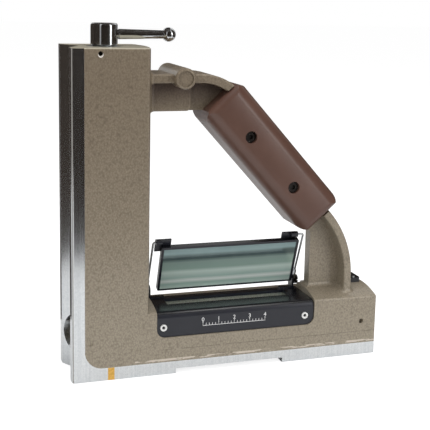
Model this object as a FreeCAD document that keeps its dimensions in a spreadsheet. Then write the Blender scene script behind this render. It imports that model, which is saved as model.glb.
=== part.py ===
import FreeCAD, Part
import math
import os
import Sketcher
from FreeCAD import Placement, Rotation, Vector

# Precision machinist level, 200 mm right-angle type with a magnetic column.
# Frame: origin at the centre of the base's resting face, +X along the base away
# from the column, front towards -Y, +Z up. All sizes are in millimetres.

doc = FreeCAD.newDocument("machinist_level")
sheet = doc.addObject("Spreadsheet::Sheet", "Sizes")


# Driving dimensions
DIMENSIONS = {
    # Frame casting, outer form
    "base_length": 200,
    "body_height": 200,
    "ground_width": 44,
    "column_edge": 46,
    "base_edge": 39.5,
    "crown_rise": 4,
    "edge_break": 1.2,
    "paint_step": 0.5,
    "band_width": 7.5,
    "band_height": 8,
    "pad_corner": 11,
    "lip_height": 2.2,
    "side_taper": 1.9,
    "side_root": 3,
    "casting_round": 1.6,
    "limb_root": 3,
    # Ground faces
    "vee_half": 15,
    "vee_depth": 8.66,
    "relief_start": 64,
    "relief_inset": 65.4,
    "relief_height": 3,
    # Bores
    "vial_bore_radius": 13.5,
    "vial_drop": 17,
    "vial_bore_spare": 2,
    "magnet_axis": 23.5,
    "magnet_bore_radius": 10.5,
    "magnet_floor_rise": 6.5,
    # Arm, boss and arch
    "arm_bottom_drop": 38.6,
    "arm_top_drop": 15.6,
    "arm_end": 75.2,
    "arm_half": 9,
    "web_half": 4,
    "flange_half": 16,
    "flange_thickness": 5.5,
    "boss_place": 68.1,
    "boss_drop": 17.9,
    "boss_radius": 6.4,
    "boss_cup_radius": 4.6,
    "boss_cup_depth": 2.2,
    "boss_plug_thickness": 1.3,
    "arch_start": 80,
    "arch_radius": 34,
    "foot_inset": 15.8,
    "foot_web_inset": 41,
    "foot_arch_rise": 12.5,
    "foot_arch_radius": 65,
    "foot_flange_thickness": 5.2,
    # Handle grips
    "handle_foot_inset": 38.4,
    "handle_foot_rise": 53.2,
    "handle_offset": 22.3,
    "handle_lap": 6.1,
    "grip_lower": 44.5,
    "grip_half_width": 16,
    "grip_depth": 18.5,
    "grip_round": 8,
    "grip_end_round": 7,
    "grip_nose_round": 4.5,
    "grip_slot_low": 10.6,
    "grip_slot_high": 9.6,
    "grip_slot_gap": 0.1,
    "grip_gap": 0.6,
    "core_low": 10.4,
    "core_high": 5,
    "core_upper_lap": 5,
    "core_lower_lap": 7,
    "grip_screw_first": 30.3,
    "grip_screw_second": 29.4,
    "grip_screw_line": 2.2,
    "grip_screw_radius": 2,
    "grip_head_radius": 3.4,
    "grip_head_height": 2.6,
    "grip_counterbore_radius": 3.8,
    "grip_counterbore_depth": 4.5,
    # Brass separator in the foot
    "spacer_start": 21.5,
    "spacer_width": 4,
    # Magnet switch
    "rotor_gap": 0.3,
    "rotor_drop": 14,
    "bearing_height": 5,
    "journal_radius": 3,
    "bush_height": 12,
    "spindle_radius": 4,
    "spindle_collar_radius": 7,
    "spindle_tail": 6,
    "hub_radius": 8,
    "hub_height": 13,
    "hub_gap": 0.4,
    "hub_round": 1.2,
    "hub_screw_radius": 1.5,
    "lever_rise": 6.6,
    "lever_root_radius": 3.1,
    "lever_tip_radius": 2.5,
    "lever_shank_radius": 2.4,
    "ball_place": 62.9,
    "ball_radius": 4.3,
    "lock_hole_place": 17,
    "lock_hole_drop": 3.2,
    "lock_hole_radius": 1.4,
    # Vial cover
    "cover_start": 51.6,
    "cover_inset": 44.2,
    "cover_back": 11.5,
    "cover_front": 21.5,
    "cover_drop": 15.9,
    "cover_thickness": 2,
    "cover_round": 5.5,
    "cover_bend": 2,
    "cover_gap": 0.1,
    "ledge_inset": 36,
    "ledge_depth": 8.5,
    "window_half": 7,
    "window_inset": 10,
    "window_lap": 1,
    "window_thickness": 1.6,
    "cover_screw_first": 4.3,
    "cover_screw_last": 6.5,
    "cover_screw_drop": 9.5,
    "cover_screw_radius": 1.25,
    "cover_head_radius": 2.1,
    "cover_head_height": 1,
    # Main vial
    "sleeve_radius": 12,
    "sleeve_bore_radius": 10.2,
    "sleeve_left_inset": 2.5,
    "sleeve_right_inset": 7,
    "sleeve_collar": 4,
    "sleeve_slot_left": 2,
    "sleeve_slot_right": 4,
    "vial_radius": 9,
    "vial_plug_length": 10,
    "vial_plug_cup": 5,
    "adjust_inset": 3,
    "adjust_radius": 1.5,
    "spring_length": 20,
    "spring_width": 1.2,
    "spring_thickness": 0.5,
    # Mirror
    "mirror_left_inset": 7.6,
    "mirror_right_inset": 4.5,
    "mirror_depth": 33.1,
    "mirror_drop": 3.5,
    "mirror_thickness": 3.2,
    "mirror_rim": 1.6,
    "mirror_low_rim": 1.12,
    "mirror_corner": 1,
    "mirror_inset": 0.3,
    "mirror_glass_thickness": 1.8,
    "mirror_lean": 20.6,
    "knuckle_offset": 3.8,
    "knuckle_rise": 35,
    "knuckle_radius": 1.9,
    "left_barrel_reach": 3.9,
    "left_barrel_gap": 0.3,
    "left_leaf_length": 6.5,
    "right_barrel_inset": 6,
    "right_barrel_gap": 1.5,
    "right_leaf_inset": 11.5,
    "leaf_thickness": 0.8,
    "leaf_rise": 0.76,
    "leaf_reach": 8,
    "pivot_depth": 12,
    "pivot_rise": 4.8,
    "pivot_radius": 1,
    "pivot_head_radius": 3,
    "pivot_head_height": 2.3,
    "pivot_gap": 0.05,
    "wire_radius": 0.65,
    "wire_bend": 1.6,
    "lug_thickness": 1,
    "lug_half": 1.75,
    "lug_length": 9,
    "left_arm_gap": 5.6,
    "right_arm_gap": 2.7,
    "bracket_thickness": 1,
    "bracket_ear": 1.2,
    "bracket_foot_front": 7.6,
    "bracket_foot_reach": 10,
    "bracket_ear_radius": 3.4,
    "bracket_screw_radius": 0.7,
    "bracket_head_radius": 1.3,
    # Cross vial
    "cross_left_inset": 12,
    "cross_right_inset": 3,
    "cross_front": -3,
    "cross_back": 14,
    "cross_floor_rise": 1,
    "cross_height": 6,
    "cross_round": 1.5,
    "cross_slot_front": 0.5,
    "cross_slot_back": 10.5,
    "cross_slot_half": 2.4,
    "cross_vial_radius": 2.6,
    "cross_screw_inset": 1.7,
    "cross_screw_radius": 0.8,
    "cross_head_radius": 1.2,
    # Fits and face plugs
    "fit": 0.02,
    "plug_depth": 7.9,
    "plug_radius": 1.6,
    "left_plug_place": 10.8,
    "left_plug_height": 24.3,
    "right_plug_inset": 10.6,
    "right_plug_height": 22.8,
}

for row, (word, number) in enumerate(DIMENSIONS.items(), start=1):
    sheet.set("A%d" % row, word.replace("_", " "))
    sheet.set("B%d" % row, str(number))
    sheet.setAlias("B%d" % row, word)
doc.recompute()


class Size:
    """A length or angle: its number now, and the sheet expression it comes from."""

    def __init__(self, number, text):
        self.number = float(number)
        self.text = text

    def joined(self, other, sign, swap=False):
        other = other if isinstance(other, Size) else Size(other, repr(other))
        left, right = (other, self) if swap else (self, other)
        number = {
            "+": lambda a, b: a + b,
            "-": lambda a, b: a - b,
            "*": lambda a, b: a * b,
            "/": lambda a, b: a / b if b else 0.0,
        }[sign](left.number, right.number)
        return Size(number, "(%s %s %s)" % (left.text, sign, right.text))

    def __add__(self, other):
        return self.joined(other, "+")

    def __radd__(self, other):
        return self.joined(other, "+", swap=True)

    def __sub__(self, other):
        return self.joined(other, "-")

    def __rsub__(self, other):
        return self.joined(other, "-", swap=True)

    def __mul__(self, other):
        return self.joined(other, "*")

    def __rmul__(self, other):
        return self.joined(other, "*", swap=True)

    def __truediv__(self, other):
        return self.joined(other, "/")

    def __neg__(self):
        return Size(-self.number, "(0 - %s)" % self.text)


class Sheet:
    """Gives each driving dimension as an attribute."""

    def __getattr__(self, word):
        return Size(sheet.get(word), "Sizes." + word)


dims = Sheet()


def cosine(angle):
    return Size(math.cos(math.radians(angle.number)), "cos(%s)" % angle.text)


def sine(angle):
    return Size(math.sin(math.radians(angle.number)), "sin(%s)" % angle.text)


def arc_sine(value):
    return Size(math.degrees(math.asin(value.number)), "asin(%s)" % value.text)


def arc_tangent(value):
    return Size(math.degrees(math.atan(value.number)), "atan(%s)" % value.text)


def root(value):
    return Size(math.sqrt(value.number), "sqrt(%s)" % value.text)


def worked_out(word, value):
    """A size that the sheet works out from others, under a name of its own."""
    row = int(sheet.getUsedRange()[1][1:]) + 1
    sheet.set("A%d" % row, word.replace("_", " "))
    sheet.set("B%d" % row, "=" + value.text.replace("Sizes.", ""))
    sheet.setAlias("B%d" % row, word)
    doc.recompute()
    return Size(value.number, "Sizes." + word)


def number_of(value):
    return value.number if isinstance(value, Size) else float(value)


def bind(target, prop, value):
    """Tie a property to the sheet, or set it when the value is a plain number."""
    if isinstance(value, Size):
        target.setExpression(prop, value.text)
    else:
        setattr(target, prop, value)


def place(target, x=0, y=0, z=0, axis=None, angle=0):
    """Placement of a sub-part, each coordinate tied to the sheet."""
    turn = Rotation(axis, number_of(angle)) if axis else Rotation()
    spot = Vector(number_of(x), number_of(y), number_of(z))
    target.Placement = Placement(spot, turn)
    for letter, value in (("x", x), ("y", y), ("z", z)):
        if isinstance(value, Size):
            target.setExpression("Placement.Base." + letter, value.text)
    if isinstance(angle, Size):
        target.setExpression("Placement.Rotation.Angle", angle.text)


def new_body(label):
    body = doc.addObject("PartDesign::Body", label)
    body.Label = label
    return body


def origin_plane(body, role):
    for feature in body.Origin.OriginFeatures:
        if feature.Role == role:
            return feature
    raise ValueError(role)


def new_sketch(body, name, role, shift=(0, 0, 0), axis=None, angle=0):
    """Sketch on one of the body's origin planes, shifted and turned in that plane."""
    sketch = body.newObject("Sketcher::SketchObject", name)
    sketch.AttachmentSupport = [(origin_plane(body, role), "")]
    sketch.MapMode = "FlatFace"
    turn = Rotation(axis, number_of(angle)) if axis else Rotation()
    sketch.AttachmentOffset = Placement(Vector(*[number_of(v) for v in shift]), turn)
    for letter, value in zip("xyz", shift):
        if isinstance(value, Size):
            sketch.setExpression("AttachmentOffset.Base." + letter, value.text)
    if isinstance(angle, Size):
        sketch.setExpression("AttachmentOffset.Rotation.Angle", angle.text)
    return sketch


def constrain(sketch, kind, value, *where):
    index = sketch.addConstraint(Sketcher.Constraint(kind, *where, number_of(value)))
    if isinstance(value, Size):
        sketch.setExpression("Constraints[%d]" % index, value.text)


def pin_point(sketch, edge, end, x, y):
    """Hold one end of an edge, or a circle's centre, at sheet coordinates."""
    for kind, value, other_axis in (("DistanceX", x, -2), ("DistanceY", y, -1)):
        if not isinstance(value, Size) and value == 0:
            sketch.addConstraint(Sketcher.Constraint("PointOnObject", edge, end, other_axis))
        else:
            constrain(sketch, kind, value, -1, 1, edge, end)


def arc_centre(start, stop, radius, turn):
    """Centre of the short arc from start to stop; turn is +1 anticlockwise."""
    chord = stop - start
    middle = (start + stop) * 0.5
    rise = math.sqrt(max(radius ** 2 - (chord.Length / 2) ** 2, 0.0))
    side = Vector(-chord.y, chord.x, 0).normalize()
    return middle + side * (rise * turn)


def outline(sketch, path):
    """Closed outline. Each step is (x, y), or (x, y, radius, turn) for an arc to there."""
    spots = [Vector(number_of(step[0]), number_of(step[1]), 0) for step in path]
    first = sketch.GeometryCount
    ends = []
    for index, step in enumerate(path):
        start = spots[index - 1]
        stop = spots[index]
        if len(step) == 2:
            sketch.addGeometry(Part.LineSegment(start, stop))
            ends.append((1, 2))
            continue
        radius, turn = step[2], step[3]
        centre = arc_centre(start, stop, number_of(radius), turn)
        low, high = (start, stop) if turn > 0 else (stop, start)
        angles = [math.atan2(p.y - centre.y, p.x - centre.x) for p in (low, high)]
        if angles[1] < angles[0]:
            angles[1] += 2 * math.pi
        circle = Part.Circle(centre, Vector(0, 0, 1), number_of(radius))
        sketch.addGeometry(Part.ArcOfCircle(circle, angles[0], angles[1]))
        ends.append((1, 2) if turn > 0 else (2, 1))
    count = len(path)
    for index in range(count):
        after = (index + 1) % count
        joint = Sketcher.Constraint(
            "Coincident", first + index, ends[index][1], first + after, ends[after][0]
        )
        sketch.addConstraint(joint)
    for index, step in enumerate(path):
        pin_point(sketch, first + index, ends[index][1], step[0], step[1])
    for index, step in enumerate(path):
        if len(step) == 4:
            constrain(sketch, "Radius", step[2], first + index)
    return sketch


def ring(sketch, x, y, radius):
    """Circle at sheet coordinates."""
    centre = Vector(number_of(x), number_of(y), 0)
    edge = sketch.addGeometry(Part.Circle(centre, Vector(0, 0, 1), number_of(radius)))
    pin_point(sketch, edge, 3, x, y)
    constrain(sketch, "Radius", radius, edge)
    return sketch


def rounded_box(left, right, low, high, radius):
    """Anticlockwise outline of a rectangle with rounded corners."""
    return [
        (right - radius, low),
        (right, low + radius, radius, 1),
        (right, high - radius),
        (right - radius, high, radius, 1),
        (left + radius, high),
        (left, high - radius, radius, 1),
        (left, low + radius),
        (left + radius, low, radius, 1),
    ]


def square_box(left, right, low, high):
    return [(right, low), (right, high), (left, high), (left, low)]


def add_feature(kind, body, name, sketch, length=None, both=False, reverse=False):
    """Pad or pocket of a sketch: a length one way, or shared both ways."""
    feature = body.newObject("PartDesign::" + kind, name)
    feature.Profile = sketch
    feature.SideType = "Symmetric" if both else "One side"
    feature.Reversed = reverse
    if length is None:
        feature.Type = "ThroughAll"
    else:
        bind(feature, "Length", length)
    body.Tip = feature
    return feature


def pad(body, name, sketch, length, both=False, reverse=False):
    return add_feature("Pad", body, name, sketch, length, both, reverse)


def pocket(body, name, sketch, length=None, both=False, reverse=False):
    return add_feature("Pocket", body, name, sketch, length, both, reverse)


def revolve(body, name, sketch, axis):
    """Full turn of a sketch about one of the body's axes."""
    feature = body.newObject("PartDesign::Revolution", name)
    feature.Profile = sketch
    feature.ReferenceAxis = (origin_plane(body, axis), [""])
    feature.Angle = 360
    body.Tip = feature
    return feature


def edges_where(feature, test):
    """Names of the edges that pass a test on their middle point and bounds."""
    doc.recompute()
    names = []
    for index, edge in enumerate(feature.Shape.Edges, start=1):
        middle = edge.valueAt((edge.FirstParameter + edge.LastParameter) / 2)
        if test(edge, middle, edge.BoundBox):
            names.append("Edge%d" % index)
    return names


def dress(kind, body, name, test, size):
    """Fillet or chamfer on the edges of the body's tip that pass the test."""
    base = body.Tip
    names = edges_where(base, test)
    feature = body.newObject("PartDesign::" + kind, name)
    feature.Base = (base, names)
    bind(feature, "Radius" if kind == "Fillet" else "Size", size)
    body.Tip = feature
    return feature


def near(value, target):
    return abs(value - number_of(target)) < 0.01


# Places worked out from the driving dimensions
left_face = -(dims.base_length / 2)
base_end = dims.base_length / 2
half_width = dims.ground_width / 2
paint_half = half_width + dims.paint_step
column_right = left_face + dims.column_edge
crown_top = dims.base_edge + dims.crown_rise
crown_radius = (
    (paint_half * paint_half + dims.crown_rise * dims.crown_rise) / (dims.crown_rise * 2)
)
magnet_x = left_face + dims.magnet_axis
magnet_floor = dims.base_edge + dims.magnet_floor_rise
hub_low = dims.body_height + dims.hub_gap
lever_z = hub_low + dims.lever_rise
arm_bottom = dims.body_height - dims.arm_bottom_drop
arm_top = dims.body_height - dims.arm_top_drop
boss_x = left_face + dims.boss_place
boss_z = dims.body_height - dims.boss_drop
foot_face = base_end - dims.foot_inset
foot_web_face = base_end - dims.foot_web_inset
foot_arch_z = dims.base_edge + dims.foot_arch_rise
axis_z = dims.base_edge - dims.vial_drop
cover_left = left_face + dims.cover_start
cover_right = base_end - dims.cover_inset
cover_low = dims.base_edge - dims.cover_drop
cover_floor = dims.base_edge - dims.cover_thickness
cover_screw_z = dims.base_edge - dims.cover_screw_drop
cover_screw_spots = (
    cover_left + dims.cover_screw_first,
    cover_right - dims.cover_screw_last,
)
left_plug_x = left_face + dims.left_plug_place
right_plug_x = base_end - dims.right_plug_inset
window_left = cover_left + dims.window_inset
window_right = cover_right - dims.window_inset
sleeve_left = cover_left + dims.sleeve_left_inset
sleeve_right = cover_right - dims.sleeve_right_inset
adjust_x = sleeve_left + dims.adjust_inset
pivot_z = dims.base_edge + dims.pivot_rise
knuckle_z = pivot_z + dims.knuckle_rise
cross_left = base_end - dims.cross_left_inset
cross_right = base_end - dims.cross_right_inset
cross_floor = dims.base_edge + dims.cross_floor_rise
cross_top = cross_floor + dims.cross_height

# The handle runs from the upper arch to a point over the foot. Its axis keeps its offset
# from the arch's centre, so its angle follows the lengths of the base and the column.
arch_x = left_face + dims.arch_start
arch_z = arm_top - dims.arch_radius
handle_end_x = base_end - dims.handle_foot_inset
handle_end_z = dims.base_edge + dims.handle_foot_rise
handle_across = handle_end_x - arch_x
handle_fall = arch_z - handle_end_z
handle_reach = worked_out(
    "handle_reach", root(handle_across * handle_across + handle_fall * handle_fall)
)
grip_angle = worked_out(
    "grip_angle",
    arc_tangent(handle_fall / handle_across) + arc_sine(dims.handle_offset / handle_reach),
)
grip_upper = worked_out(
    "grip_upper",
    root(handle_reach * handle_reach - dims.handle_offset * dims.handle_offset)
    + dims.handle_lap - dims.grip_lower,
)
grip_x = worked_out("grip_x", handle_end_x - dims.grip_lower * cosine(grip_angle))
grip_z = worked_out("grip_z", handle_end_z + dims.grip_lower * sine(grip_angle))
foot_arch_x = foot_face - dims.foot_arch_radius
foot_lead = worked_out(
    "foot_lead",
    (foot_arch_x - handle_end_x) * cosine(grip_angle)
    - (foot_arch_z - handle_end_z) * sine(grip_angle),
)
grip_screw_spots = (
    dims.grip_screw_first - grip_upper,
    dims.grip_lower - dims.grip_screw_second,
)


def handle_point(along, across):
    """Point of the handle's slanting frame, as x and z."""
    x = grip_x + along * cosine(grip_angle) + across * sine(grip_angle)
    z = grip_z - along * sine(grip_angle) + across * cosine(grip_angle)
    return x, z


def arch_end(radius):
    """Where a curve of the upper arch meets the plane before the grips' upper end."""
    angle = grip_angle - arc_sine((dims.handle_lap + dims.grip_gap) / radius)
    return arch_x + radius * sine(angle), arch_z + radius * cosine(angle)


def foot_end(radius):
    """Where a curve of the lower arch meets the plane before the grips' lower end."""
    angle = grip_angle - arc_sine((foot_lead - dims.grip_gap) / radius)
    return foot_arch_x + radius * sine(angle), foot_arch_z + radius * cosine(angle)


# Frame casting: column, base, arm, boss, arches and handle core in one piece.
# Each limb is shaped and rounded as a body of its own before they are joined.
casting = new_body("frame_casting")
limbs = []


def new_limb(label):
    limb = new_body(label)
    limbs.append(limb)
    return limb


def column():
    """Column: ground outer side, raised painted areas and crowned inner side."""
    low = dims.band_height
    plan = new_sketch(casting, "column_plan", "XY_Plane")
    outline(plan, [
        (column_right, -half_width),
        (column_right, half_width),
        (left_face + dims.edge_break, half_width),
        (left_face, half_width - dims.edge_break),
        (left_face, dims.edge_break - half_width),
        (left_face + dims.edge_break, -half_width),
    ])
    pad(casting, "column", plan, dims.body_height)
    left = left_face + dims.band_width
    paint = new_sketch(casting, "paint_area", "XZ_Plane")
    outline(paint, [
        (column_right, low),
        (column_right, dims.body_height),
        (left, dims.body_height),
        (left, low + dims.pad_corner),
        (left + dims.pad_corner, low, dims.pad_corner, 1),
    ])
    pad(casting, "paint_pad", paint, paint_half * 2, both=True)
    crown = new_sketch(casting, "crown_plan", "XY_Plane", (0, 0, low))
    outline(crown, [
        (column_right, -paint_half),
        (column_right, paint_half, crown_radius, 1),
        (magnet_x, paint_half),
        (magnet_x, -paint_half),
    ])
    pad(casting, "crown", crown, dims.body_height - low)
    dress(
        "Fillet", casting, "column_rounds",
        lambda edge, middle, box: near(middle.x, column_right)
        and box.ZLength > dims.body_height.number / 2 and near(abs(middle.y), paint_half),
        dims.casting_round,
    )
    dress(
        "Fillet", casting, "column_rim",
        lambda edge, middle, box: near(middle.z, dims.body_height)
        and (near(abs(middle.y), paint_half)
             or middle.x > column_right.number - dims.casting_round.number),
        dims.edge_break,
    )


def base_beam():
    """Base beam: ground feet, painted lip, crowned top and sides that draw in."""
    start = column_right - dims.band_width
    limb = new_limb("base_limb")
    section = new_sketch(limb, "base_section", "YZ_Plane", (0, 0, start))
    outline(section, [
        (half_width, 0),
        (half_width, dims.band_height),
        (paint_half, dims.band_height),
        (paint_half, dims.base_edge),
        (-paint_half, dims.base_edge, crown_radius, 1),
        (-paint_half, dims.band_height),
        (-half_width, dims.band_height),
        (-half_width, 0),
    ])
    pad(limb, "base_bar", section, base_end - start)
    lip = dims.band_height + dims.lip_height
    far = paint_half + dims.side_root * 2
    slope = dims.side_taper / (dims.base_length - dims.column_edge)
    angle = arc_tangent(slope)
    for name, side in (("front", -1), ("back", 1)):
        sketch = new_sketch(
            limb, "slim_%s" % name, "YZ_Plane",
            (0, 0, column_right), Vector(0, 1, 0), angle * side,
        )
        outline(sketch, [
            (paint_half * side, crown_top),
            (paint_half * side, lip + dims.side_root),
            ((paint_half + dims.side_root) * side, lip, dims.side_root, side),
            (far * side, lip),
            (far * side, crown_top),
        ])
        pocket(limb, "slimming_%s" % name, sketch, reverse=True)
    rim = (dims.base_edge - dims.crown_rise).number
    dress(
        "Fillet", limb, "base_rounds",
        lambda edge, middle, box: middle.z > rim
        and box.XLength > (dims.base_length - dims.column_edge).number / 2,
        dims.casting_round,
    )
    dress(
        "Fillet", limb, "base_end_rounds",
        lambda edge, middle, box: near(middle.x, base_end) and box.XLength < 0.01
        and middle.z > rim,
        dims.edge_break,
    )
    relief = new_sketch(limb, "relief_plan", "XZ_Plane")
    outline(relief, square_box(
        left_face + dims.relief_start, base_end - dims.relief_inset,
        -dims.relief_height, dims.relief_height,
    ))
    pocket(limb, "relief", relief, paint_half * 3, both=True)


def arm():
    """Thick web of the arm between the column and the boss."""
    left = column_right - dims.edge_break
    right = left_face + dims.arm_end
    low = arm_bottom
    high = boss_z
    inside = (dims.edge_break / 2).number
    corner = dims.side_root
    limb = new_limb("arm_limb")
    sketch = new_sketch(limb, "arm_plan", "XZ_Plane")
    outline(sketch, [
        (right - corner, low),
        (right, low + corner, corner, 1),
        (right, high),
        (left, high),
        (left, low),
    ])
    pad(limb, "arm_block", sketch, dims.arm_half * 2, both=True)
    dress(
        "Fillet", limb, "arm_rounds",
        lambda edge, middle, box: near(abs(middle.y), dims.arm_half)
        and middle.x > left.number + inside and middle.z < high.number - inside,
        dims.edge_break,
    )


def upper_arch():
    """Top flange from the column over the boss and down to the grips."""
    left = column_right - dims.edge_break
    inner = dims.arch_radius - dims.flange_thickness
    limb = new_limb("arch_limb")
    sketch = new_sketch(limb, "arch_plan", "XZ_Plane")
    outline(sketch, [
        (left, arch_z + inner),
        (arch_x, arch_z + inner),
        (*arch_end(inner), inner, -1),
        arch_end(dims.arch_radius),
        (arch_x, arm_top, dims.arch_radius, 1),
        (left, arm_top),
    ])
    pad(limb, "arch_flange", sketch, dims.flange_half * 2, both=True)
    dress(
        "Fillet", limb, "arch_rounds",
        lambda edge, middle, box: near(abs(middle.y), dims.flange_half)
        and box.XLength > dims.flange_thickness.number,
        dims.edge_break,
    )


def handle_core():
    """Core of the handle, a flat bar that the grips enclose."""
    limb = new_limb("core_limb")
    sketch = new_sketch(
        limb, "core_plan", "XZ_Plane",
        (grip_x, grip_z, 0), Vector(0, 0, -1), grip_angle,
    )
    outline(sketch, square_box(
        -grip_upper - dims.core_upper_lap, dims.grip_lower + dims.core_lower_lap,
        -dims.core_low, dims.core_high,
    ))
    pad(limb, "core", sketch, dims.web_half * 2, both=True)
    for along in grip_screw_spots:
        holes = new_sketch(
            limb, "core_hole_plan", "XZ_Plane",
            (grip_x, grip_z, 0), Vector(0, 0, -1), grip_angle,
        )
        ring(holes, along, -dims.grip_screw_line, dims.grip_screw_radius + dims.fit)
        pocket(limb, "core_hole", holes, dims.web_half * 4, both=True)


def upper_web():
    """Thin web under the upper flange, joined to the handle's core."""
    left = left_face + dims.arm_end - dims.side_root
    middle = dims.arch_radius - dims.flange_thickness / 2
    grip_end = -grip_upper - dims.grip_gap
    low_x, low_z = handle_point(grip_end, -dims.core_low)
    top_x, top_z = handle_point(grip_end, dims.core_high)
    limb = new_limb("upper_web_limb")
    sketch = new_sketch(limb, "upper_web_plan", "XZ_Plane")
    outline(sketch, [
        (low_x, arm_bottom),
        (low_x, low_z),
        (top_x, top_z),
        arch_end(middle),
        (arch_x, arch_z + middle, middle, 1),
        (left, arch_z + middle),
        (left, arm_bottom),
    ])
    pad(limb, "upper_web", sketch, dims.web_half * 2, both=True)


def lower_arch():
    """Outer flange of the lower arch, from the grips down to the base."""
    outer = dims.foot_arch_radius
    inner = outer - dims.foot_flange_thickness
    foot = dims.base_edge - dims.crown_rise
    limb = new_limb("foot_limb")
    sketch = new_sketch(limb, "foot_arch_plan", "XZ_Plane")
    outline(sketch, [
        (foot_arch_x + outer, foot),
        (foot_arch_x + outer, foot_arch_z),
        (*foot_end(outer), outer, 1),
        foot_end(inner),
        (foot_arch_x + inner, foot_arch_z, inner, -1),
        (foot_arch_x + inner, foot),
    ])
    pad(limb, "foot_flange", sketch, dims.flange_half * 2, both=True)
    dress(
        "Fillet", limb, "foot_rounds",
        lambda edge, middle, box: near(abs(middle.y), dims.flange_half)
        and box.ZLength > dims.foot_flange_thickness.number,
        dims.edge_break,
    )


def lower_web():
    """Web of the lower arch, joined to the handle's core."""
    left = foot_web_face
    middle = dims.foot_arch_radius - dims.foot_flange_thickness / 2
    foot = dims.base_edge - dims.crown_rise
    low_x, low_z = handle_point(dims.grip_lower + dims.grip_gap, -dims.core_low)
    limb = new_limb("lower_web_limb")
    sketch = new_sketch(limb, "lower_web_plan", "XZ_Plane")
    outline(sketch, [
        (foot_arch_x + middle, foot),
        (foot_arch_x + middle, foot_arch_z),
        (*foot_end(middle), middle, 1),
        (low_x, low_z),
        (left, low_z - (left - low_x)),
        (left, foot),
    ])
    pad(limb, "lower_web", sketch, dims.web_half * 2, both=True)


def boss():
    """Cross boss with a shallow cup in each end."""
    limb = new_limb("boss_limb")
    plan = ring(new_sketch(limb, "boss_plan", "XZ_Plane"), boss_x, boss_z, dims.boss_radius)
    pad(limb, "boss", plan, half_width * 2, both=True)
    dress(
        "Fillet", limb, "boss_rounds",
        lambda edge, middle, box: box.YLength < 0.01,
        dims.casting_round,
    )
    for name, side in (("front", 1), ("back", -1)):
        cup = new_sketch(limb, "cup_plan_%s" % name, "XZ_Plane", (0, 0, half_width * side))
        ring(cup, boss_x, boss_z, dims.boss_cup_radius)
        pocket(limb, "cup_%s" % name, cup, dims.boss_cup_depth, reverse=side < 0)


def join_limbs():
    """All limbs become one casting with the column."""
    joined = casting.newObject("PartDesign::Boolean", "joined")
    joined.Type = "Fuse"
    joined.setObjects(limbs)
    casting.Tip = joined


def on_crown(offset, side):
    """Whether a point lies on a crowned face, from its distance to that crown's middle."""
    middle = offset + crown_radius.number
    return abs(math.hypot(side, middle) - crown_radius.number) < 0.02


def root_rounds():
    """Cast roundings where the limbs meet each other and the crowned faces."""
    top = crown_top.number
    inner = (column_right + dims.crown_rise).number
    low = (arm_bottom - dims.edge_break).number
    spare = dims.edge_break.number
    dress(
        "Fillet", casting, "foot_root",
        lambda edge, middle, box: foot_web_face.number - spare < middle.x
        and middle.x < foot_face.number + spare and box.XLength < dims.foot_web_inset.number
        and box.ZLength < dims.crown_rise.number and on_crown(middle.z - top, middle.y),
        dims.limb_root,
    )
    dress(
        "Fillet", casting, "arm_root",
        lambda edge, middle, box: middle.z > low and box.ZLength < dims.arm_bottom_drop.number
        and middle.x < inner + spare and on_crown(middle.x - inner, middle.y),
        dims.limb_root,
    )


def ground_vee():
    """Shallow vee along the column's ground face for round bars."""
    sketch = new_sketch(casting, "vee_plan", "XY_Plane")
    outline(sketch, [
        (left_face, -dims.vee_half),
        (left_face + dims.vee_depth, 0),
        (left_face, dims.vee_half),
        (left_face - dims.vee_depth, dims.vee_half),
        (left_face - dims.vee_depth, -dims.vee_half),
    ])
    return pocket(casting, "vee", sketch, reverse=True)


def magnet_bore():
    """Bore down the column for the magnet, and the hole of the screw that locks its bush."""
    magnet = new_sketch(casting, "magnet_bore_plan", "XY_Plane", (0, 0, dims.body_height))
    ring(magnet, magnet_x, 0, dims.magnet_bore_radius)
    pocket(casting, "magnet_bore", magnet, dims.body_height - magnet_floor)
    lock = new_sketch(casting, "lock_hole_plan", "XZ_Plane", (0, 0, paint_half))
    ring(
        lock, left_face + dims.lock_hole_place,
        dims.body_height - dims.lock_hole_drop, dims.lock_hole_radius,
    )
    pocket(casting, "lock_hole", lock, paint_half - dims.magnet_bore_radius / 2)


def vial_bore():
    """Bore from the vee into the base for the main vial."""
    vial = new_sketch(casting, "vial_bore_plan", "YZ_Plane", (0, 0, left_face))
    ring(vial, 0, axis_z, dims.vial_bore_radius)
    bore_end = sleeve_right + dims.vial_bore_spare
    pocket(casting, "vial_bore", vial, bore_end - left_face, reverse=True)


def cover_section(front, top, bend):
    """Front and top faces of the cover or of its seat, joined by a bend."""
    return [
        (-front, cover_low),
        (-front, top - bend),
        (bend - front, top, bend, -1),
    ]


def cover_seat():
    """Milled seat for the vial cover on the top and front, and the window slot."""
    high = crown_top + dims.crown_rise
    front = dims.cover_front - dims.cover_thickness
    seat = new_sketch(casting, "seat_plan", "YZ_Plane", (0, 0, cover_left))
    outline(seat, cover_section(front, cover_floor, dims.cover_bend) + [
        (paint_half * 2, cover_floor),
        (paint_half * 2, high),
        (-paint_half * 2, high),
        (-paint_half * 2, cover_low),
    ])
    pocket(casting, "seat", seat, cover_right - cover_left, reverse=True)
    dress(
        "Fillet", casting, "seat_corners",
        lambda edge, middle, box: box.YLength > 1 and box.XLength < 0.01 and box.ZLength < 0.01
        and near(middle.z, cover_low)
        and (near(middle.x, cover_left) or near(middle.x, cover_right)),
        dims.cover_round,
    )
    ledge = new_sketch(casting, "ledge_plan", "XZ_Plane", (0, 0, -dims.ledge_depth))
    outline(ledge, square_box(
        cover_left - dims.cover_bend, base_end - dims.ledge_inset, cover_floor, high
    ))
    pocket(casting, "seat_ledge", ledge, paint_half)
    slot = new_sketch(casting, "slot_plan", "XY_Plane", (0, 0, cover_floor))
    outline(slot, square_box(window_left, window_right, -dims.window_half, dims.window_half))
    pocket(casting, "slot", slot, cover_floor - axis_z)


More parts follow.
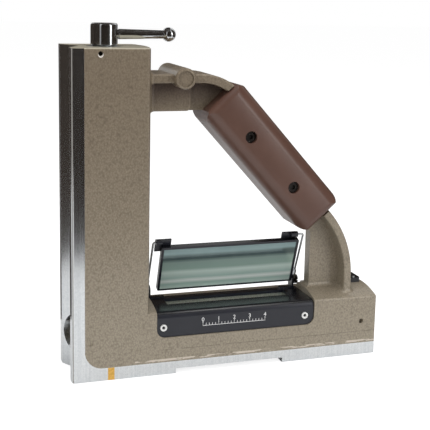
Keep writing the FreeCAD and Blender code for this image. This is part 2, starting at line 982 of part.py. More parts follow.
def face_holes():
    """Blind holes for the two plugs in the front face, and the cover's screw holes."""
    spots = (
        ("left_plug", left_plug_x, dims.left_plug_height, dims.plug_radius),
        ("right_plug", right_plug_x, dims.right_plug_height, dims.plug_radius),
        ("left_screw", cover_screw_spots[0], cover_screw_z, dims.cover_screw_radius),
        ("right_screw", cover_screw_spots[1], cover_screw_z, dims.cover_screw_radius),
    )
    for name, x, height, radius in spots:
        sketch = new_sketch(casting, "%s_plan" % name, "XZ_Plane", (0, 0, paint_half))
        ring(sketch, x, height, radius)
        pocket(casting, "%s_hole" % name, sketch, dims.plug_depth)


def small_seats():
    """Slot for the brass strip, adjusting screw hole and cross vial seat."""
    strip = new_sketch(casting, "strip_plan", "XZ_Plane")
    start = left_face + dims.spacer_start
    outline(strip, square_box(start, start + dims.spacer_width, -dims.band_height, dims.band_height))
    pocket(casting, "strip_slot", strip, paint_half * 3, both=True)
    adjust = new_sketch(casting, "adjust_plan", "XY_Plane", (0, 0, cover_floor))
    ring(adjust, adjust_x, 0, dims.adjust_radius + dims.fit)
    pocket(casting, "adjust_hole", adjust, cover_floor - axis_z)
    cross = new_sketch(casting, "cross_plan", "XY_Plane", (0, 0, cross_floor))
    outline(cross, rounded_box(
        cross_left - dims.cover_gap, cross_right + dims.cover_gap,
        dims.cross_front - dims.cover_gap, dims.cross_back + dims.cover_gap,
        dims.cross_round,
    ))
    pocket(casting, "cross_seat", cross, crown_top, reverse=True)


column()
ground_vee()
magnet_bore()
base_beam()
arm()
upper_arch()
handle_core()
upper_web()
lower_arch()
lower_web()
boss()
join_limbs()
root_rounds()
vial_bore()
cover_seat()
face_holes()
small_seats()


def turned(label, axis, profile, x=0, y=0, z=0):
    """Body of revolution about its own axis, from the points of half its section."""
    body = new_body(label)
    sketch = outline(new_sketch(body, label + "_section", "XZ_Plane"), profile)
    revolve(body, label + "_turned", sketch, axis)
    place(body, x, y, z)
    return body


def tube(inner, outer, low, high):
    """Half section of a ring about the Z axis."""
    return [(inner, low), (outer, low), (outer, high), (inner, high)]


def hexagon(x, y, radius):
    """Anticlockwise hexagon with two corners level with its centre."""
    tall = radius * root(Size(3, "3")) / 2
    wide = radius / 2
    return [
        (x + radius, y),
        (x + wide, y + tall),
        (x - wide, y + tall),
        (x - radius, y),
        (x - wide, y - tall),
        (x + wide, y - tall),
    ]


# Brass strip across the column's foot
spacer = new_body("brass_spacer")
spacer_left = left_face + dims.spacer_start
outline(new_sketch(spacer, "spacer_plan", "XZ_Plane"), square_box(
    spacer_left, spacer_left + dims.spacer_width, 0, dims.band_height
))
pad(spacer, "spacer_bar", spacer.Group[-1], dims.ground_width, both=True)


# Magnet switch: bearing, rotor, bush, spindle, hub and lever on one upright axis
bush_low = dims.body_height - dims.bush_height
bearing_top = magnet_floor + dims.bearing_height
rotor_top = dims.body_height - dims.rotor_drop
spindle_end = hub_low + dims.hub_height - dims.hub_round * 2

turned("rotor_bearing", "Z_Axis", tube(
    dims.journal_radius + dims.fit, dims.magnet_bore_radius - dims.fit,
    magnet_floor, bearing_top,
), x=magnet_x)

tail_floor = rotor_top - dims.spindle_tail
turned("magnet_rotor", "Z_Axis", [
    (0, magnet_floor + dims.rotor_gap),
    (dims.journal_radius, magnet_floor + dims.rotor_gap),
    (dims.journal_radius, bearing_top),
    (dims.magnet_bore_radius - dims.rotor_gap, bearing_top),
    (dims.magnet_bore_radius - dims.rotor_gap, rotor_top),
    (dims.spindle_radius + dims.fit, rotor_top),
    (dims.spindle_radius + dims.fit, tail_floor),
    (0, tail_floor),
], x=magnet_x)

turned("spindle_bush", "Z_Axis", tube(
    dims.spindle_radius + dims.fit, dims.magnet_bore_radius - dims.fit,
    bush_low, dims.body_height,
), x=magnet_x)

turned("switch_spindle", "Z_Axis", [
    (0, tail_floor),
    (dims.spindle_radius, tail_floor),
    (dims.spindle_radius, rotor_top),
    (dims.spindle_collar_radius, rotor_top),
    (dims.spindle_collar_radius, bush_low - dims.fit),
    (dims.spindle_radius, bush_low - dims.fit),
    (dims.spindle_radius, spindle_end),
    (0, spindle_end),
], x=magnet_x)

hub = turned("switch_hub", "Z_Axis", [
    (dims.spindle_radius + dims.fit, hub_low),
    (dims.hub_radius - dims.hub_round / 2, hub_low),
    (dims.hub_radius, hub_low + dims.hub_round / 2),
    (dims.hub_radius, hub_low + dims.hub_height - dims.hub_round),
    (
        dims.hub_radius - dims.hub_round, hub_low + dims.hub_height,
        dims.hub_round, 1,
    ),
    (0, hub_low + dims.hub_height),
    (0, spindle_end),
    (dims.spindle_radius + dims.fit, spindle_end),
], x=magnet_x)
lever_hole = new_sketch(hub, "lever_hole_plan", "YZ_Plane", (0, 0, dims.spindle_radius))
ring(lever_hole, 0, lever_z, dims.lever_shank_radius + dims.fit)
pocket(hub, "lever_hole", lever_hole, dims.hub_radius, reverse=True)
screw_hole = new_sketch(hub, "screw_hole_plan", "XZ_Plane", (0, 0, -dims.spindle_radius))
ring(screw_hole, 0, lever_z, dims.hub_screw_radius + dims.fit)
pocket(hub, "screw_hole", screw_hole, dims.hub_radius)

ball_reach = root(
    dims.ball_radius * dims.ball_radius - dims.lever_tip_radius * dims.lever_tip_radius
)
ball_x = dims.ball_place - dims.magnet_axis
shank_start = dims.spindle_radius + dims.fit
root_start = dims.hub_radius - dims.hub_round / 3
turned("switch_lever", "X_Axis", [
    (shank_start, 0),
    (ball_x + dims.ball_radius, 0),
    (ball_x - ball_reach, dims.lever_tip_radius, dims.ball_radius, 1),
    (root_start + dims.hub_round, dims.lever_root_radius),
    (root_start, dims.lever_shank_radius),
    (shank_start, dims.lever_shank_radius),
], x=magnet_x, z=lever_z)

set_screw = new_body("hub_set_screw")
ring(
    new_sketch(set_screw, "set_screw_plan", "XZ_Plane", (0, 0, -dims.spindle_radius)),
    magnet_x, lever_z, dims.hub_screw_radius,
)
pad(
    set_screw, "set_screw_shank", set_screw.Group[-1],
    dims.hub_radius - dims.spindle_radius - dims.rotor_gap, reverse=True,
)
outline(
    new_sketch(set_screw, "set_screw_socket", "XZ_Plane", (0, 0, dims.rotor_gap - dims.hub_radius)),
    hexagon(magnet_x, lever_z, dims.hub_screw_radius / 2),
)
pocket(set_screw, "set_screw_hex", set_screw.Group[-1], dims.hub_screw_radius, reverse=True)

lock_screw = new_body("bush_lock_screw")
lock_x = left_face + dims.lock_hole_place
lock_offset = dims.magnet_axis - dims.lock_hole_place
lock_tip = root(
    dims.magnet_bore_radius * dims.magnet_bore_radius - lock_offset * lock_offset
) + dims.lock_hole_radius
lock_head = half_width - dims.lock_hole_radius * 2
lock_z = dims.body_height - dims.lock_hole_drop
ring(
    new_sketch(lock_screw, "lock_screw_plan", "XZ_Plane", (0, 0, lock_tip)),
    lock_x, lock_z, dims.lock_hole_radius - dims.fit,
)
pad(lock_screw, "lock_screw_shank", lock_screw.Group[-1], lock_head - lock_tip)
outline(
    new_sketch(lock_screw, "lock_screw_socket", "XZ_Plane", (0, 0, lock_head)),
    hexagon(lock_x, lock_z, dims.lock_hole_radius / 2),
)
pocket(lock_screw, "lock_screw_hex", lock_screw.Group[-1], dims.lock_hole_radius)


# Vial cover: one bent plate with a window, held by two screws in front
cover = new_body("vial_cover")
plate_left = cover_left + dims.cover_gap
plate_right = cover_right - dims.cover_gap
plate_low = cover_low + dims.cover_gap
outer_bend = dims.cover_bend + dims.cover_thickness
inner_front = dims.cover_front - dims.cover_thickness
section = new_sketch(cover, "cover_plan", "YZ_Plane", (0, 0, plate_left))
outline(section, [
    (-dims.cover_front, plate_low),
    (-inner_front, plate_low),
    (-inner_front, cover_floor - dims.cover_bend),
    (dims.cover_bend - inner_front, cover_floor, dims.cover_bend, -1),
    (dims.cover_back, cover_floor),
    (dims.cover_back, dims.base_edge),
    (outer_bend - dims.cover_front, dims.base_edge),
    (-dims.cover_front, dims.base_edge - outer_bend, outer_bend, 1),
])
pad(cover, "cover_plate", section, plate_right - plate_left)
dress(
    "Fillet", cover, "cover_corners",
    lambda edge, middle, box: box.YLength > 1 and box.XLength < 0.01 and box.ZLength < 0.01
    and near(middle.z, plate_low),
    dims.cover_round - dims.cover_gap,
)
window = new_sketch(cover, "window_plan", "XY_Plane", (0, 0, dims.base_edge))
outline(window, square_box(
    window_left + dims.window_lap, window_right - dims.window_lap,
    dims.window_lap - dims.window_half, dims.window_half - dims.window_lap,
))
pocket(cover, "window", window, dims.cover_thickness * 2)
holes = new_sketch(cover, "cover_holes_plan", "XZ_Plane", (0, 0, dims.cover_front))
for spot in cover_screw_spots:
    ring(holes, spot, cover_screw_z, dims.cover_screw_radius + dims.fit)
pocket(cover, "cover_holes", holes, dims.cover_thickness * 2)

glass = new_body("window_glass")
outline(new_sketch(glass, "glass_plan", "XY_Plane", (0, 0, cover_floor)), square_box(
    window_left + dims.cover_gap, window_right - dims.cover_gap,
    dims.cover_gap - dims.window_half, dims.window_half - dims.cover_gap,
))
pad(glass, "glass_strip", glass.Group[-1], dims.window_thickness, reverse=True)


def screw_set(label, spots, line, face, radius, reach, head_radius, head_height, socket):
    """Socket screws side by side, heads on a front face, as one group."""
    body = new_body(label)
    body.AllowCompound = True
    shank = new_sketch(body, label + "_shank_plan", "XZ_Plane", (0, 0, face))
    head = new_sketch(body, label + "_head_plan", "XZ_Plane", (0, 0, face))
    drive = new_sketch(body, label + "_drive_plan", "XZ_Plane", (0, 0, face + head_height))
    for spot in spots:
        ring(shank, spot, line, radius)
        ring(head, spot, line, head_radius)
        outline(drive, hexagon(spot, line, socket))
    pad(body, label + "_shank", shank, reach, reverse=True)
    pad(body, label + "_head", head, head_height)
    pocket(body, label + "_drive", drive, head_height / 2)
    return body


screw_set(
    "cover_screws", cover_screw_spots, cover_screw_z, dims.cover_front,
    dims.cover_screw_radius, dims.plug_depth - paint_half + dims.cover_front - dims.fit,
    dims.cover_head_radius, dims.cover_head_height, dims.cover_screw_radius,
)


# Main vial: sleeve in the bore, glass between two plugs, adjusting screw and spring
collar_left = sleeve_right - dims.sleeve_collar
sleeve = turned("vial_sleeve", "X_Axis", [
    (sleeve_left, dims.sleeve_bore_radius),
    (sleeve_right, dims.sleeve_bore_radius),
    (sleeve_right, dims.vial_bore_radius - dims.fit),
    (collar_left, dims.vial_bore_radius - dims.fit),
    (collar_left, dims.sleeve_radius),
    (sleeve_left, dims.sleeve_radius),
], z=axis_z)
slot = new_sketch(sleeve, "sleeve_slot_plan", "XY_Plane", (0, 0, dims.vial_bore_radius))
outline(slot, square_box(
    window_left + dims.sleeve_slot_left, window_right - dims.sleeve_slot_right,
    -dims.window_half, dims.window_half,
))
pocket(sleeve, "sleeve_slot", slot, dims.vial_bore_radius)

plug_outer = dims.sleeve_bore_radius - dims.fit
cup_radius = dims.vial_radius + dims.fit
left_cup = sleeve_left + dims.vial_plug_length - dims.vial_plug_cup
right_cup = sleeve_right - dims.vial_plug_length + dims.vial_plug_cup
turned("vial_plug_left", "X_Axis", [
    (sleeve_left, 0),
    (left_cup, 0),
    (left_cup, cup_radius),
    (sleeve_left + dims.vial_plug_length, cup_radius),
    (sleeve_left + dims.vial_plug_length, plug_outer),
    (sleeve_left, plug_outer),
], z=axis_z)
turned("vial_plug_right", "X_Axis", [
    (sleeve_right, 0),
    (sleeve_right, plug_outer),
    (sleeve_right - dims.vial_plug_length, plug_outer),
    (sleeve_right - dims.vial_plug_length, cup_radius),
    (right_cup, cup_radius),
    (right_cup, 0),
], z=axis_z)
turned("main_vial", "X_Axis", [
    (left_cup, 0),
    (right_cup, 0),
    (right_cup, dims.vial_radius - dims.cover_bend),
    (right_cup - dims.cover_bend, dims.vial_radius, dims.cover_bend, 1),
    (left_cup + dims.cover_bend, dims.vial_radius),
    (left_cup, dims.vial_radius - dims.cover_bend, dims.cover_bend, 1),
], z=axis_z)

adjust = turned("vial_adjust_screw", "Z_Axis", [
    (0, axis_z + dims.sleeve_radius),
    (dims.adjust_radius / 2, axis_z + dims.sleeve_radius),
    (dims.adjust_radius, axis_z + dims.sleeve_radius + dims.adjust_radius / 2),
    (dims.adjust_radius, cover_floor - dims.cover_gap),
    (0, cover_floor - dims.cover_gap),
], x=adjust_x)
driver = new_sketch(adjust, "adjust_drive_plan", "XY_Plane", (0, 0, cover_floor - dims.cover_gap))
outline(driver, hexagon(Size(0, "0"), Size(0, "0"), dims.adjust_radius / 2))
pocket(adjust, "adjust_drive", driver, dims.adjust_radius / 2)

spring = new_body("vial_spring")
spring_rise = dims.vial_bore_radius - dims.sleeve_radius
spring_low = axis_z - dims.vial_bore_radius
spring_mid = spring_rise - dims.spring_thickness
spring_half = dims.spring_length / 2
spring_radius = (spring_half * spring_half + spring_mid * spring_mid) / (spring_mid * 2)
spring_x = adjust_x + dims.sleeve_collar * 2
leaf = new_sketch(spring, "spring_plan", "XZ_Plane")
outline(leaf, [
    (spring_x + spring_half, spring_low, spring_radius, -1),
    (spring_x + spring_half, spring_low + dims.spring_thickness),
    (spring_x, spring_low + spring_rise, spring_radius, 1),
    (spring_x - spring_half, spring_low + dims.spring_thickness, spring_radius, 1),
    (spring_x - spring_half, spring_low),
    (spring_x, spring_low + spring_mid, spring_radius, -1),
])
pad(spring, "spring_leaf", leaf, dims.spring_width, both=True)


# Mirror: frame, glass and hinge ears in the frame of the tilting axis
def mirror_place(body):
    place(
        body, 0, -dims.knuckle_offset, knuckle_z,
        Vector(1, 0, 0), dims.mirror_lean,
    )


mirror_left = cover_left + dims.mirror_left_inset
mirror_right = cover_right - dims.mirror_right_inset
mirror_high = -dims.mirror_drop
mirror_low = mirror_high - dims.mirror_depth
mirror_half = dims.mirror_thickness / 2
glass_front = mirror_half - dims.mirror_inset

mirror = new_body("mirror_frame")
outline(new_sketch(mirror, "mirror_plan", "XZ_Plane"), rounded_box(
    mirror_left, mirror_right, mirror_low, mirror_high, dims.mirror_corner
))
pad(mirror, "mirror_tray", mirror.Group[-1], dims.mirror_thickness, both=True)
outline(
    new_sketch(mirror, "tray_plan", "XZ_Plane", (0, 0, mirror_half)),
    square_box(
        mirror_left + dims.mirror_rim, mirror_right - dims.mirror_rim,
        mirror_low + dims.mirror_low_rim, mirror_high - dims.mirror_rim,
    ),
)
pocket(mirror, "tray", mirror.Group[-1], dims.mirror_inset + dims.mirror_glass_thickness)
mirror_place(mirror)

plate = new_body("mirror_glass")
outline(
    new_sketch(plate, "plate_plan", "XZ_Plane", (0, 0, glass_front)),
    square_box(
        mirror_left + dims.mirror_rim + dims.fit, mirror_right - dims.mirror_rim - dims.fit,
        mirror_low + dims.mirror_low_rim + dims.fit, mirror_high - dims.mirror_rim - dims.fit,
    ),
)
pad(plate, "plate", plate.Group[-1], dims.mirror_glass_thickness, reverse=True)
mirror_place(plate)


def mirror_ear(label, barrel_start, barrel_end, leaf_start, leaf_end):
    """Hinge leaf on the back of the mirror with its barrel on the tilting axis."""
    body = new_body(label)
    barrel = new_sketch(body, label + "_barrel_plan", "YZ_Plane", (0, 0, barrel_start))
    ring(barrel, 0, 0, dims.knuckle_radius)
    pad(body, label + "_barrel", barrel, barrel_end - barrel_start)
    leaf = new_sketch(body, label + "_leaf_plan", "XZ_Plane", (0, 0, -mirror_half))
    outline(leaf, square_box(
        leaf_start, leaf_end, -dims.leaf_reach, dims.leaf_rise
    ))
    pad(body, label + "_leaf", leaf, dims.leaf_thickness, reverse=True)
    bore = new_sketch(body, label + "_bore_plan", "YZ_Plane", (0, 0, leaf_start))
    ring(bore, 0, 0, dims.wire_radius + dims.fit)
    pocket(body, label + "_bore", bore, leaf_end - leaf_start, reverse=True)
    mirror_place(body)
    return body


left_barrel = (mirror_left - dims.left_barrel_reach, mirror_left - dims.left_barrel_gap)
right_barrel = (mirror_right - dims.right_barrel_inset, mirror_right - dims.right_barrel_gap)
mirror_ear(
    "mirror_ear_left", left_barrel[0], left_barrel[1],
    left_barrel[0], mirror_left + dims.left_leaf_length,
)
mirror_ear(
    "mirror_ear_right", right_barrel[0], right_barrel[1],
    mirror_right - dims.right_leaf_inset, right_barrel[1],
)


# Mirror arms: bent wire with a flat lug, leaning back to the pivots
arm_run = dims.pivot_depth + dims.knuckle_offset
arm_rise = knuckle_z - pivot_z
arm_length = root(arm_run * arm_run + arm_rise * arm_rise)
arm_lean = arc_tangent(arm_run / arm_rise)


def mirror_arm(label, arm_x, pin_end, side):
    """Arm whose pin points to the mirror; side is +1 towards +X."""
    body = new_body(label)
    lug = new_sketch(body, label + "_lug_plan", "YZ_Plane", (0, 0, arm_x - dims.lug_thickness / 2))
    outline(lug, [
        (dims.lug_half, 0, dims.lug_half, 1),
        (dims.lug_half, dims.lug_length),
        (-dims.lug_half, dims.lug_length),
        (-dims.lug_half, 0),
        (0, -dims.lug_half, dims.lug_half, 1),
    ])
    pad(body, label + "_lug", lug, dims.lug_thickness)
    hole = new_sketch(body, label + "_hole_plan", "YZ_Plane", (0, 0, arm_x - dims.lug_thickness))
    ring(hole, 0, 0, dims.pivot_radius + dims.fit)
    pocket(body, label + "_hole", hole, dims.lug_thickness * 2, reverse=True)
    start = dims.lug_length - dims.lug_half
    path = body.newObject("Sketcher::SketchObject", label + "_path")
    path.AttachmentSupport = [(origin_plane(body, "XZ_Plane"), "")]
    path.MapMode = "FlatFace"
    bend_end = arm_x + dims.wire_bend * side
    spots = [
        (arm_x, start), (arm_x, arm_length - dims.wire_bend),
        (bend_end, arm_length), (pin_end, arm_length),
    ]
    points = [Vector(number_of(a), number_of(b), 0) for a, b in spots]
    centre = Vector(points[2].x, points[1].y, 0)
    half_turn = math.pi / 2
    circle = Part.Circle(centre, Vector(0, 0, 1), dims.wire_bend.number)
    path.addGeometry(Part.LineSegment(points[0], points[1]))
    if side > 0:
        path.addGeometry(Part.ArcOfCircle(circle, half_turn, 2 * half_turn))
    else:
        path.addGeometry(Part.ArcOfCircle(circle, 0, half_turn))
    path.addGeometry(Part.LineSegment(points[2], points[3]))
    near_end, far_end = (2, 1) if side > 0 else (1, 2)
    path.addConstraint(Sketcher.Constraint("Coincident", 0, 2, 1, near_end))
    path.addConstraint(Sketcher.Constraint("Coincident", 1, far_end, 2, 1))
    pin_point(path, 0, 1, *spots[0])
    pin_point(path, 0, 2, *spots[1])
    pin_point(path, 2, 1, *spots[2])
    pin_point(path, 2, 2, *spots[3])
    constrain(path, "Radius", dims.wire_bend, 1)
    section = new_sketch(body, label + "_wire_plan", "XY_Plane", (0, 0, start))
    ring(section, arm_x, 0, dims.wire_radius)
    wire = body.newObject("PartDesign::AdditivePipe", label + "_wire")
    wire.Profile = section
    wire.Spine = (path, [])
    body.Tip = wire
    place(body, 0, dims.pivot_depth, pivot_z, Vector(1, 0, 0), arm_lean)
    return body


left_arm_x = mirror_left - dims.left_arm_gap
right_arm_x = mirror_right + dims.right_arm_gap
mirror_arm("mirror_arm_left", left_arm_x, left_barrel[1], 1)
mirror_arm("mirror_arm_right", right_arm_x, right_barrel[0], -1)


# Hinge brackets behind the window, with pivot screws and foot screws
ear_gap = dims.lug_thickness / 2 + dims.pivot_gap


def hinge_bracket(label, arm_x, side):
    """Bracket on the cover; side is +1 when its foot runs towards +X."""
    body = new_body(label)
    near_face = arm_x + ear_gap * side
    far_face = near_face + dims.bracket_ear * side
    foot_end = near_face + dims.bracket_foot_reach * side
    low, high = (near_face, foot_end) if side > 0 else (foot_end, near_face)
    foot = new_sketch(body, label + "_foot_plan", "XY_Plane", (0, 0, dims.base_edge))
    outline(foot, square_box(
        low, high, dims.bracket_foot_front, dims.cover_back - dims.cover_gap
    ))
    pad(body, label + "_foot", foot, dims.bracket_thickness)
    ear_start = near_face if side > 0 else far_face
    ear = new_sketch(body, label + "_ear_plan", "YZ_Plane", (0, 0, ear_start))
    back = dims.pivot_depth + dims.bracket_ear_radius
    front = dims.pivot_depth - dims.bracket_ear_radius
    top = pivot_z + dims.bracket_ear_radius
    outline(ear, [
        (back, dims.base_edge),
        (back, pivot_z),
        (dims.pivot_depth, top, dims.bracket_ear_radius, 1),
        (front, pivot_z, dims.bracket_ear_radius, 1),
        (front, dims.base_edge),
    ])
    pad(body, label + "_ear", ear, dims.bracket_ear)
    pivot = new_sketch(body, label + "_pivot_plan", "YZ_Plane", (0, 0, ear_start))
    ring(pivot, dims.pivot_depth, pivot_z, dims.pivot_radius)
    pocket(body, label + "_pivot", pivot, dims.bracket_ear, reverse=True)
    holes = new_sketch(
        body, label + "_holes_plan", "XY_Plane",
        (0, 0, dims.base_edge + dims.bracket_thickness),
    )
    for spot in foot_screws(arm_x, side):
        ring(holes, spot, foot_screw_line, dims.bracket_head_radius)
    pocket(body, label + "_holes", holes, dims.bracket_thickness)
    return body


foot_screw_line = (dims.bracket_foot_front + dims.cover_back) / 2


def foot_screws(arm_x, side):
    first = arm_x + (ear_gap + dims.bracket_ear + dims.bracket_head_radius * 2) * side
    return first, first + dims.bracket_head_radius * 3 * side


hinge_bracket("hinge_bracket_left", left_arm_x, 1)
hinge_bracket("hinge_bracket_right", right_arm_x, -1)
all_foot_screws = foot_screws(left_arm_x, 1) + foot_screws(right_arm_x, -1)


def hinge_screw(label, arm_x, side):
    """Pivot screw; its head is on the far side of the arm from the bracket."""
    head = ear_gap * -side
    tip = (ear_gap + dims.bracket_ear) * side
    end = head - dims.pivot_head_height * side
    profile = [
        (tip, 0),
        (tip, dims.pivot_radius),
        (head, dims.pivot_radius),
        (head, dims.pivot_head_radius),
        (end, dims.pivot_head_radius),
        (end, 0),
    ]
    screw = turned(
        label, "X_Axis", profile, x=arm_x, y=dims.pivot_depth, z=pivot_z
    )
    slot = new_sketch(screw, label + "_slot_plan", "YZ_Plane", (0, 0, end))
    outline(slot, square_box(
        -dims.pivot_head_radius * 2, dims.pivot_head_radius * 2,
        -dims.pivot_radius / 3, dims.pivot_radius / 3,
    ))
    pocket(screw, label + "_slot", slot, dims.pivot_head_height / 3, reverse=side > 0)
    return screw


hinge_screw("hinge_screw_left", left_arm_x, 1)
hinge_screw("hinge_screw_right", right_arm_x, -1)

foot_screw_set = new_body("bracket_screws")
foot_screw_set.AllowCompound = True
heads = new_sketch(foot_screw_set, "bracket_heads_plan", "XY_Plane", (0, 0, dims.base_edge))
shanks = new_sketch(foot_screw_set, "bracket_shanks_plan", "XY_Plane", (0, 0, dims.base_edge))
cover_taps = new_sketch(cover, "bracket_taps_plan", "XY_Plane", (0, 0, dims.base_edge))
for spot in all_foot_screws:
    ring(heads, spot, foot_screw_line, dims.bracket_head_radius - dims.fit)
    ring(shanks, spot, foot_screw_line, dims.bracket_screw_radius)
    ring(cover_taps, spot, foot_screw_line, dims.bracket_screw_radius + dims.fit)
pad(foot_screw_set, "bracket_heads", heads, dims.bracket_thickness)
pad(foot_screw_set, "bracket_shanks", shanks, dims.cover_thickness - dims.cover_gap, reverse=True)
pocket(cover, "bracket_taps", cover_taps, dims.cover_thickness)


# Grips: two insulating halves around the core, clamped by two screws
screw_line = -dims.grip_screw_line
slot_half = dims.web_half + dims.grip_slot_gap
parting = dims.fit


def grip_place_body(body):
    place(body, grip_x, 0, grip_z, Vector(0, 1, 0), grip_angle)


def grip_half(label, side):
    """One half of the grip; side is -1 in front and +1 behind."""
    body = new_body(label)
    low = -dims.grip_half_width
    high = dims.grip_half_width
    inside = parting * side
    outside = dims.grip_depth * side
    shoulder = (dims.grip_depth - dims.grip_round) * side
    turn = side
    section = new_sketch(body, label + "_section", "YZ_Plane", (0, 0, -grip_upper))
    outline(section, [
        (inside, low),
        (shoulder, low),
        (outside, low + dims.grip_round, dims.grip_round, turn),
        (outside, high - dims.grip_round),
        (shoulder, high, dims.grip_round, turn),
        (inside, high),
    ])
    pad(body, label + "_block", section, grip_upper + dims.grip_lower)
    corners = new_sketch(body, label + "_corners_plan", "XZ_Plane")
    far = dims.grip_half_width * 2
    outline(corners, square_box(-grip_upper - far, dims.grip_lower + far, -far, far))
    outline(corners, rounded_box(
        -grip_upper, dims.grip_lower, low, high, dims.grip_end_round
    ))
    pocket(body, label + "_corners", corners, dims.grip_depth * 4, both=True)
    noses = new_sketch(body, label + "_noses_plan", "XY_Plane")
    outline(noses, square_box(-grip_upper - far, dims.grip_lower + far, -far, far))
    outline(noses, rounded_box(
        -grip_upper, dims.grip_lower, -dims.grip_depth, dims.grip_depth, dims.grip_nose_round
    ))
    pocket(body, label + "_noses", noses, far * 2, both=True)
    core = new_sketch(body, label + "_core_plan", "XZ_Plane")
    outline(core, square_box(
        -grip_upper - far, dims.grip_lower + far, -dims.grip_slot_low, dims.grip_slot_high
    ))
    pocket(body, label + "_core_slot", core, slot_half * 2, both=True)
    holes = new_sketch(body, label + "_holes_plan", "XZ_Plane")
    for spot in grip_screw_spots:
        ring(holes, spot, screw_line, dims.grip_screw_radius + dims.fit)
    pocket(body, label + "_holes", holes, dims.grip_depth * 4, both=True)
    sink = new_sketch(body, label + "_sink_plan", "XZ_Plane", (0, 0, dims.grip_depth * -side))
    for spot in grip_screw_spots:
        if side < 0:
            ring(sink, spot, screw_line, dims.grip_counterbore_radius)
        else:
            outline(sink, hexagon(spot, screw_line, dims.grip_counterbore_radius + dims.fit))
    pocket(body, label + "_sink", sink, dims.grip_counterbore_depth, reverse=side > 0)
    grip_place_body(body)
    return body


grip_half("grip_front", -1)
grip_half("grip_back", 1)

screw_seat = dims.grip_depth - dims.grip_counterbore_depth
clamp_screws = screw_set(
    "grip_screws", grip_screw_spots, screw_line, screw_seat, dims.grip_screw_radius,
    screw_seat * 2 + dims.grip_head_height, dims.grip_head_radius, dims.grip_head_height,
    dims.grip_head_radius / 2,
)
grip_place_body(clamp_screws)

nuts = new_body("grip_nuts")
nuts.AllowCompound = True
nut_plan = new_sketch(nuts, "nut_plan", "XZ_Plane", (0, 0, -screw_seat))
nut_bore = new_sketch(nuts, "nut_bore_plan", "XZ_Plane", (0, 0, -screw_seat))
for spot in grip_screw_spots:
    outline(nut_plan, hexagon(spot, screw_line, dims.grip_counterbore_radius))
    ring(nut_bore, spot, screw_line, dims.grip_screw_radius + dims.fit)
pad(nuts, "nut_block", nut_plan, dims.grip_head_height, reverse=True)
pocket(nuts, "nut_bore", nut_bore, dims.grip_head_height)
grip_place_body(nuts)


# Cross vial behind the lower arch
cross_middle = (cross_left + cross_right) / 2
cross_screw_spots = (
    dims.cross_front + dims.cross_screw_inset,
    dims.cross_back - dims.cross_screw_inset,
)
housing = new_body("cross_vial_housing")
outline(new_sketch(housing, "housing_plan", "XY_Plane", (0, 0, cross_floor)), rounded_box(
    cross_left, cross_right, dims.cross_front, dims.cross_back, dims.cross_round
))
pad(housing, "housing_block", housing.Group[-1], cross_top - cross_floor)
vial_z = cross_top - dims.cross_vial_radius - dims.spring_thickness
ring(
    new_sketch(housing, "cross_bore_plan", "XZ_Plane", (0, 0, -dims.cross_slot_front)),
    cross_middle, vial_z, dims.cross_vial_radius + dims.fit,
)
pocket(
    housing, "cross_bore", housing.Group[-1],
    dims.cross_slot_back - dims.cross_slot_front,
)
outline(new_sketch(housing, "cross_slot_plan", "XY_Plane", (0, 0, cross_top)), square_box(
    cross_middle - dims.cross_slot_half, cross_middle + dims.cross_slot_half,
    dims.cross_slot_front, dims.cross_slot_back,
))
pocket(housing, "cross_slot", housing.Group[-1], cross_top - vial_z)
cross_holes = new_sketch(housing, "cross_holes_plan", "XY_Plane", (0, 0, cross_top))
for spot in cross_screw_spots:
    ring(cross_holes, cross_middle, spot, dims.cross_screw_radius + dims.fit)
pocket(housing, "cross_holes", cross_holes, cross_top)

tube_glass = new_body("cross_vial")
ring(
    new_sketch(tube_glass, "cross_vial_plan", "XZ_Plane", (0, 0, -dims.cross_slot_front)),
    cross_middle, vial_z, dims.cross_vial_radius,
)
pad(
    tube_glass, "cross_vial_tube", tube_glass.Group[-1],
    dims.cross_slot_back - dims.cross_slot_front, reverse=True,
)

cross_screws = new_body("cross_vial_screws")
cross_screws.AllowCompound = True
cross_heads = new_sketch(cross_screws, "cross_heads_plan", "XY_Plane", (0, 0, cross_top))
cross_shanks = new_sketch(cross_screws, "cross_shanks_plan", "XY_Plane", (0, 0, cross_top))
for spot in cross_screw_spots:
    ring(cross_heads, cross_middle, spot, dims.cross_head_radius)
    ring(cross_shanks, cross_middle, spot, dims.cross_screw_radius)
pad(cross_screws, "cross_heads", cross_heads, dims.cross_screw_radius)
pad(
    cross_screws, "cross_shanks", cross_shanks,
    cross_top - cross_floor, reverse=True,
)


# Plugs in the front face and in the boss
plugs = new_body("face_plugs")
plugs.AllowCompound = True
plug_floor = paint_half - dims.plug_depth
for name, x, height, recess in (
    ("left", left_plug_x, dims.left_plug_height, dims.paint_step),
    ("right", right_plug_x, dims.right_plug_height, dims.paint_step + dims.side_taper),
):
    sketch = new_sketch(plugs, "face_plug_%s_plan" % name, "XZ_Plane", (0, 0, plug_floor))
    ring(sketch, x, height, dims.plug_radius - dims.fit)
    pad(plugs, "face_plug_%s" % name, sketch, dims.plug_depth - recess)

caps = new_body("boss_plugs")
caps.AllowCompound = True
cap_floor = half_width - dims.boss_cup_depth
for name, side in (("front", 1), ("back", -1)):
    sketch = new_sketch(caps, "boss_plug_%s_plan" % name, "XZ_Plane", (0, 0, cap_floor * side))
    ring(sketch, boss_x, boss_z, dims.boss_cup_radius - dims.fit)
    pad(caps, "boss_plug_%s" % name, sketch, dims.boss_plug_thickness, reverse=side < 0)


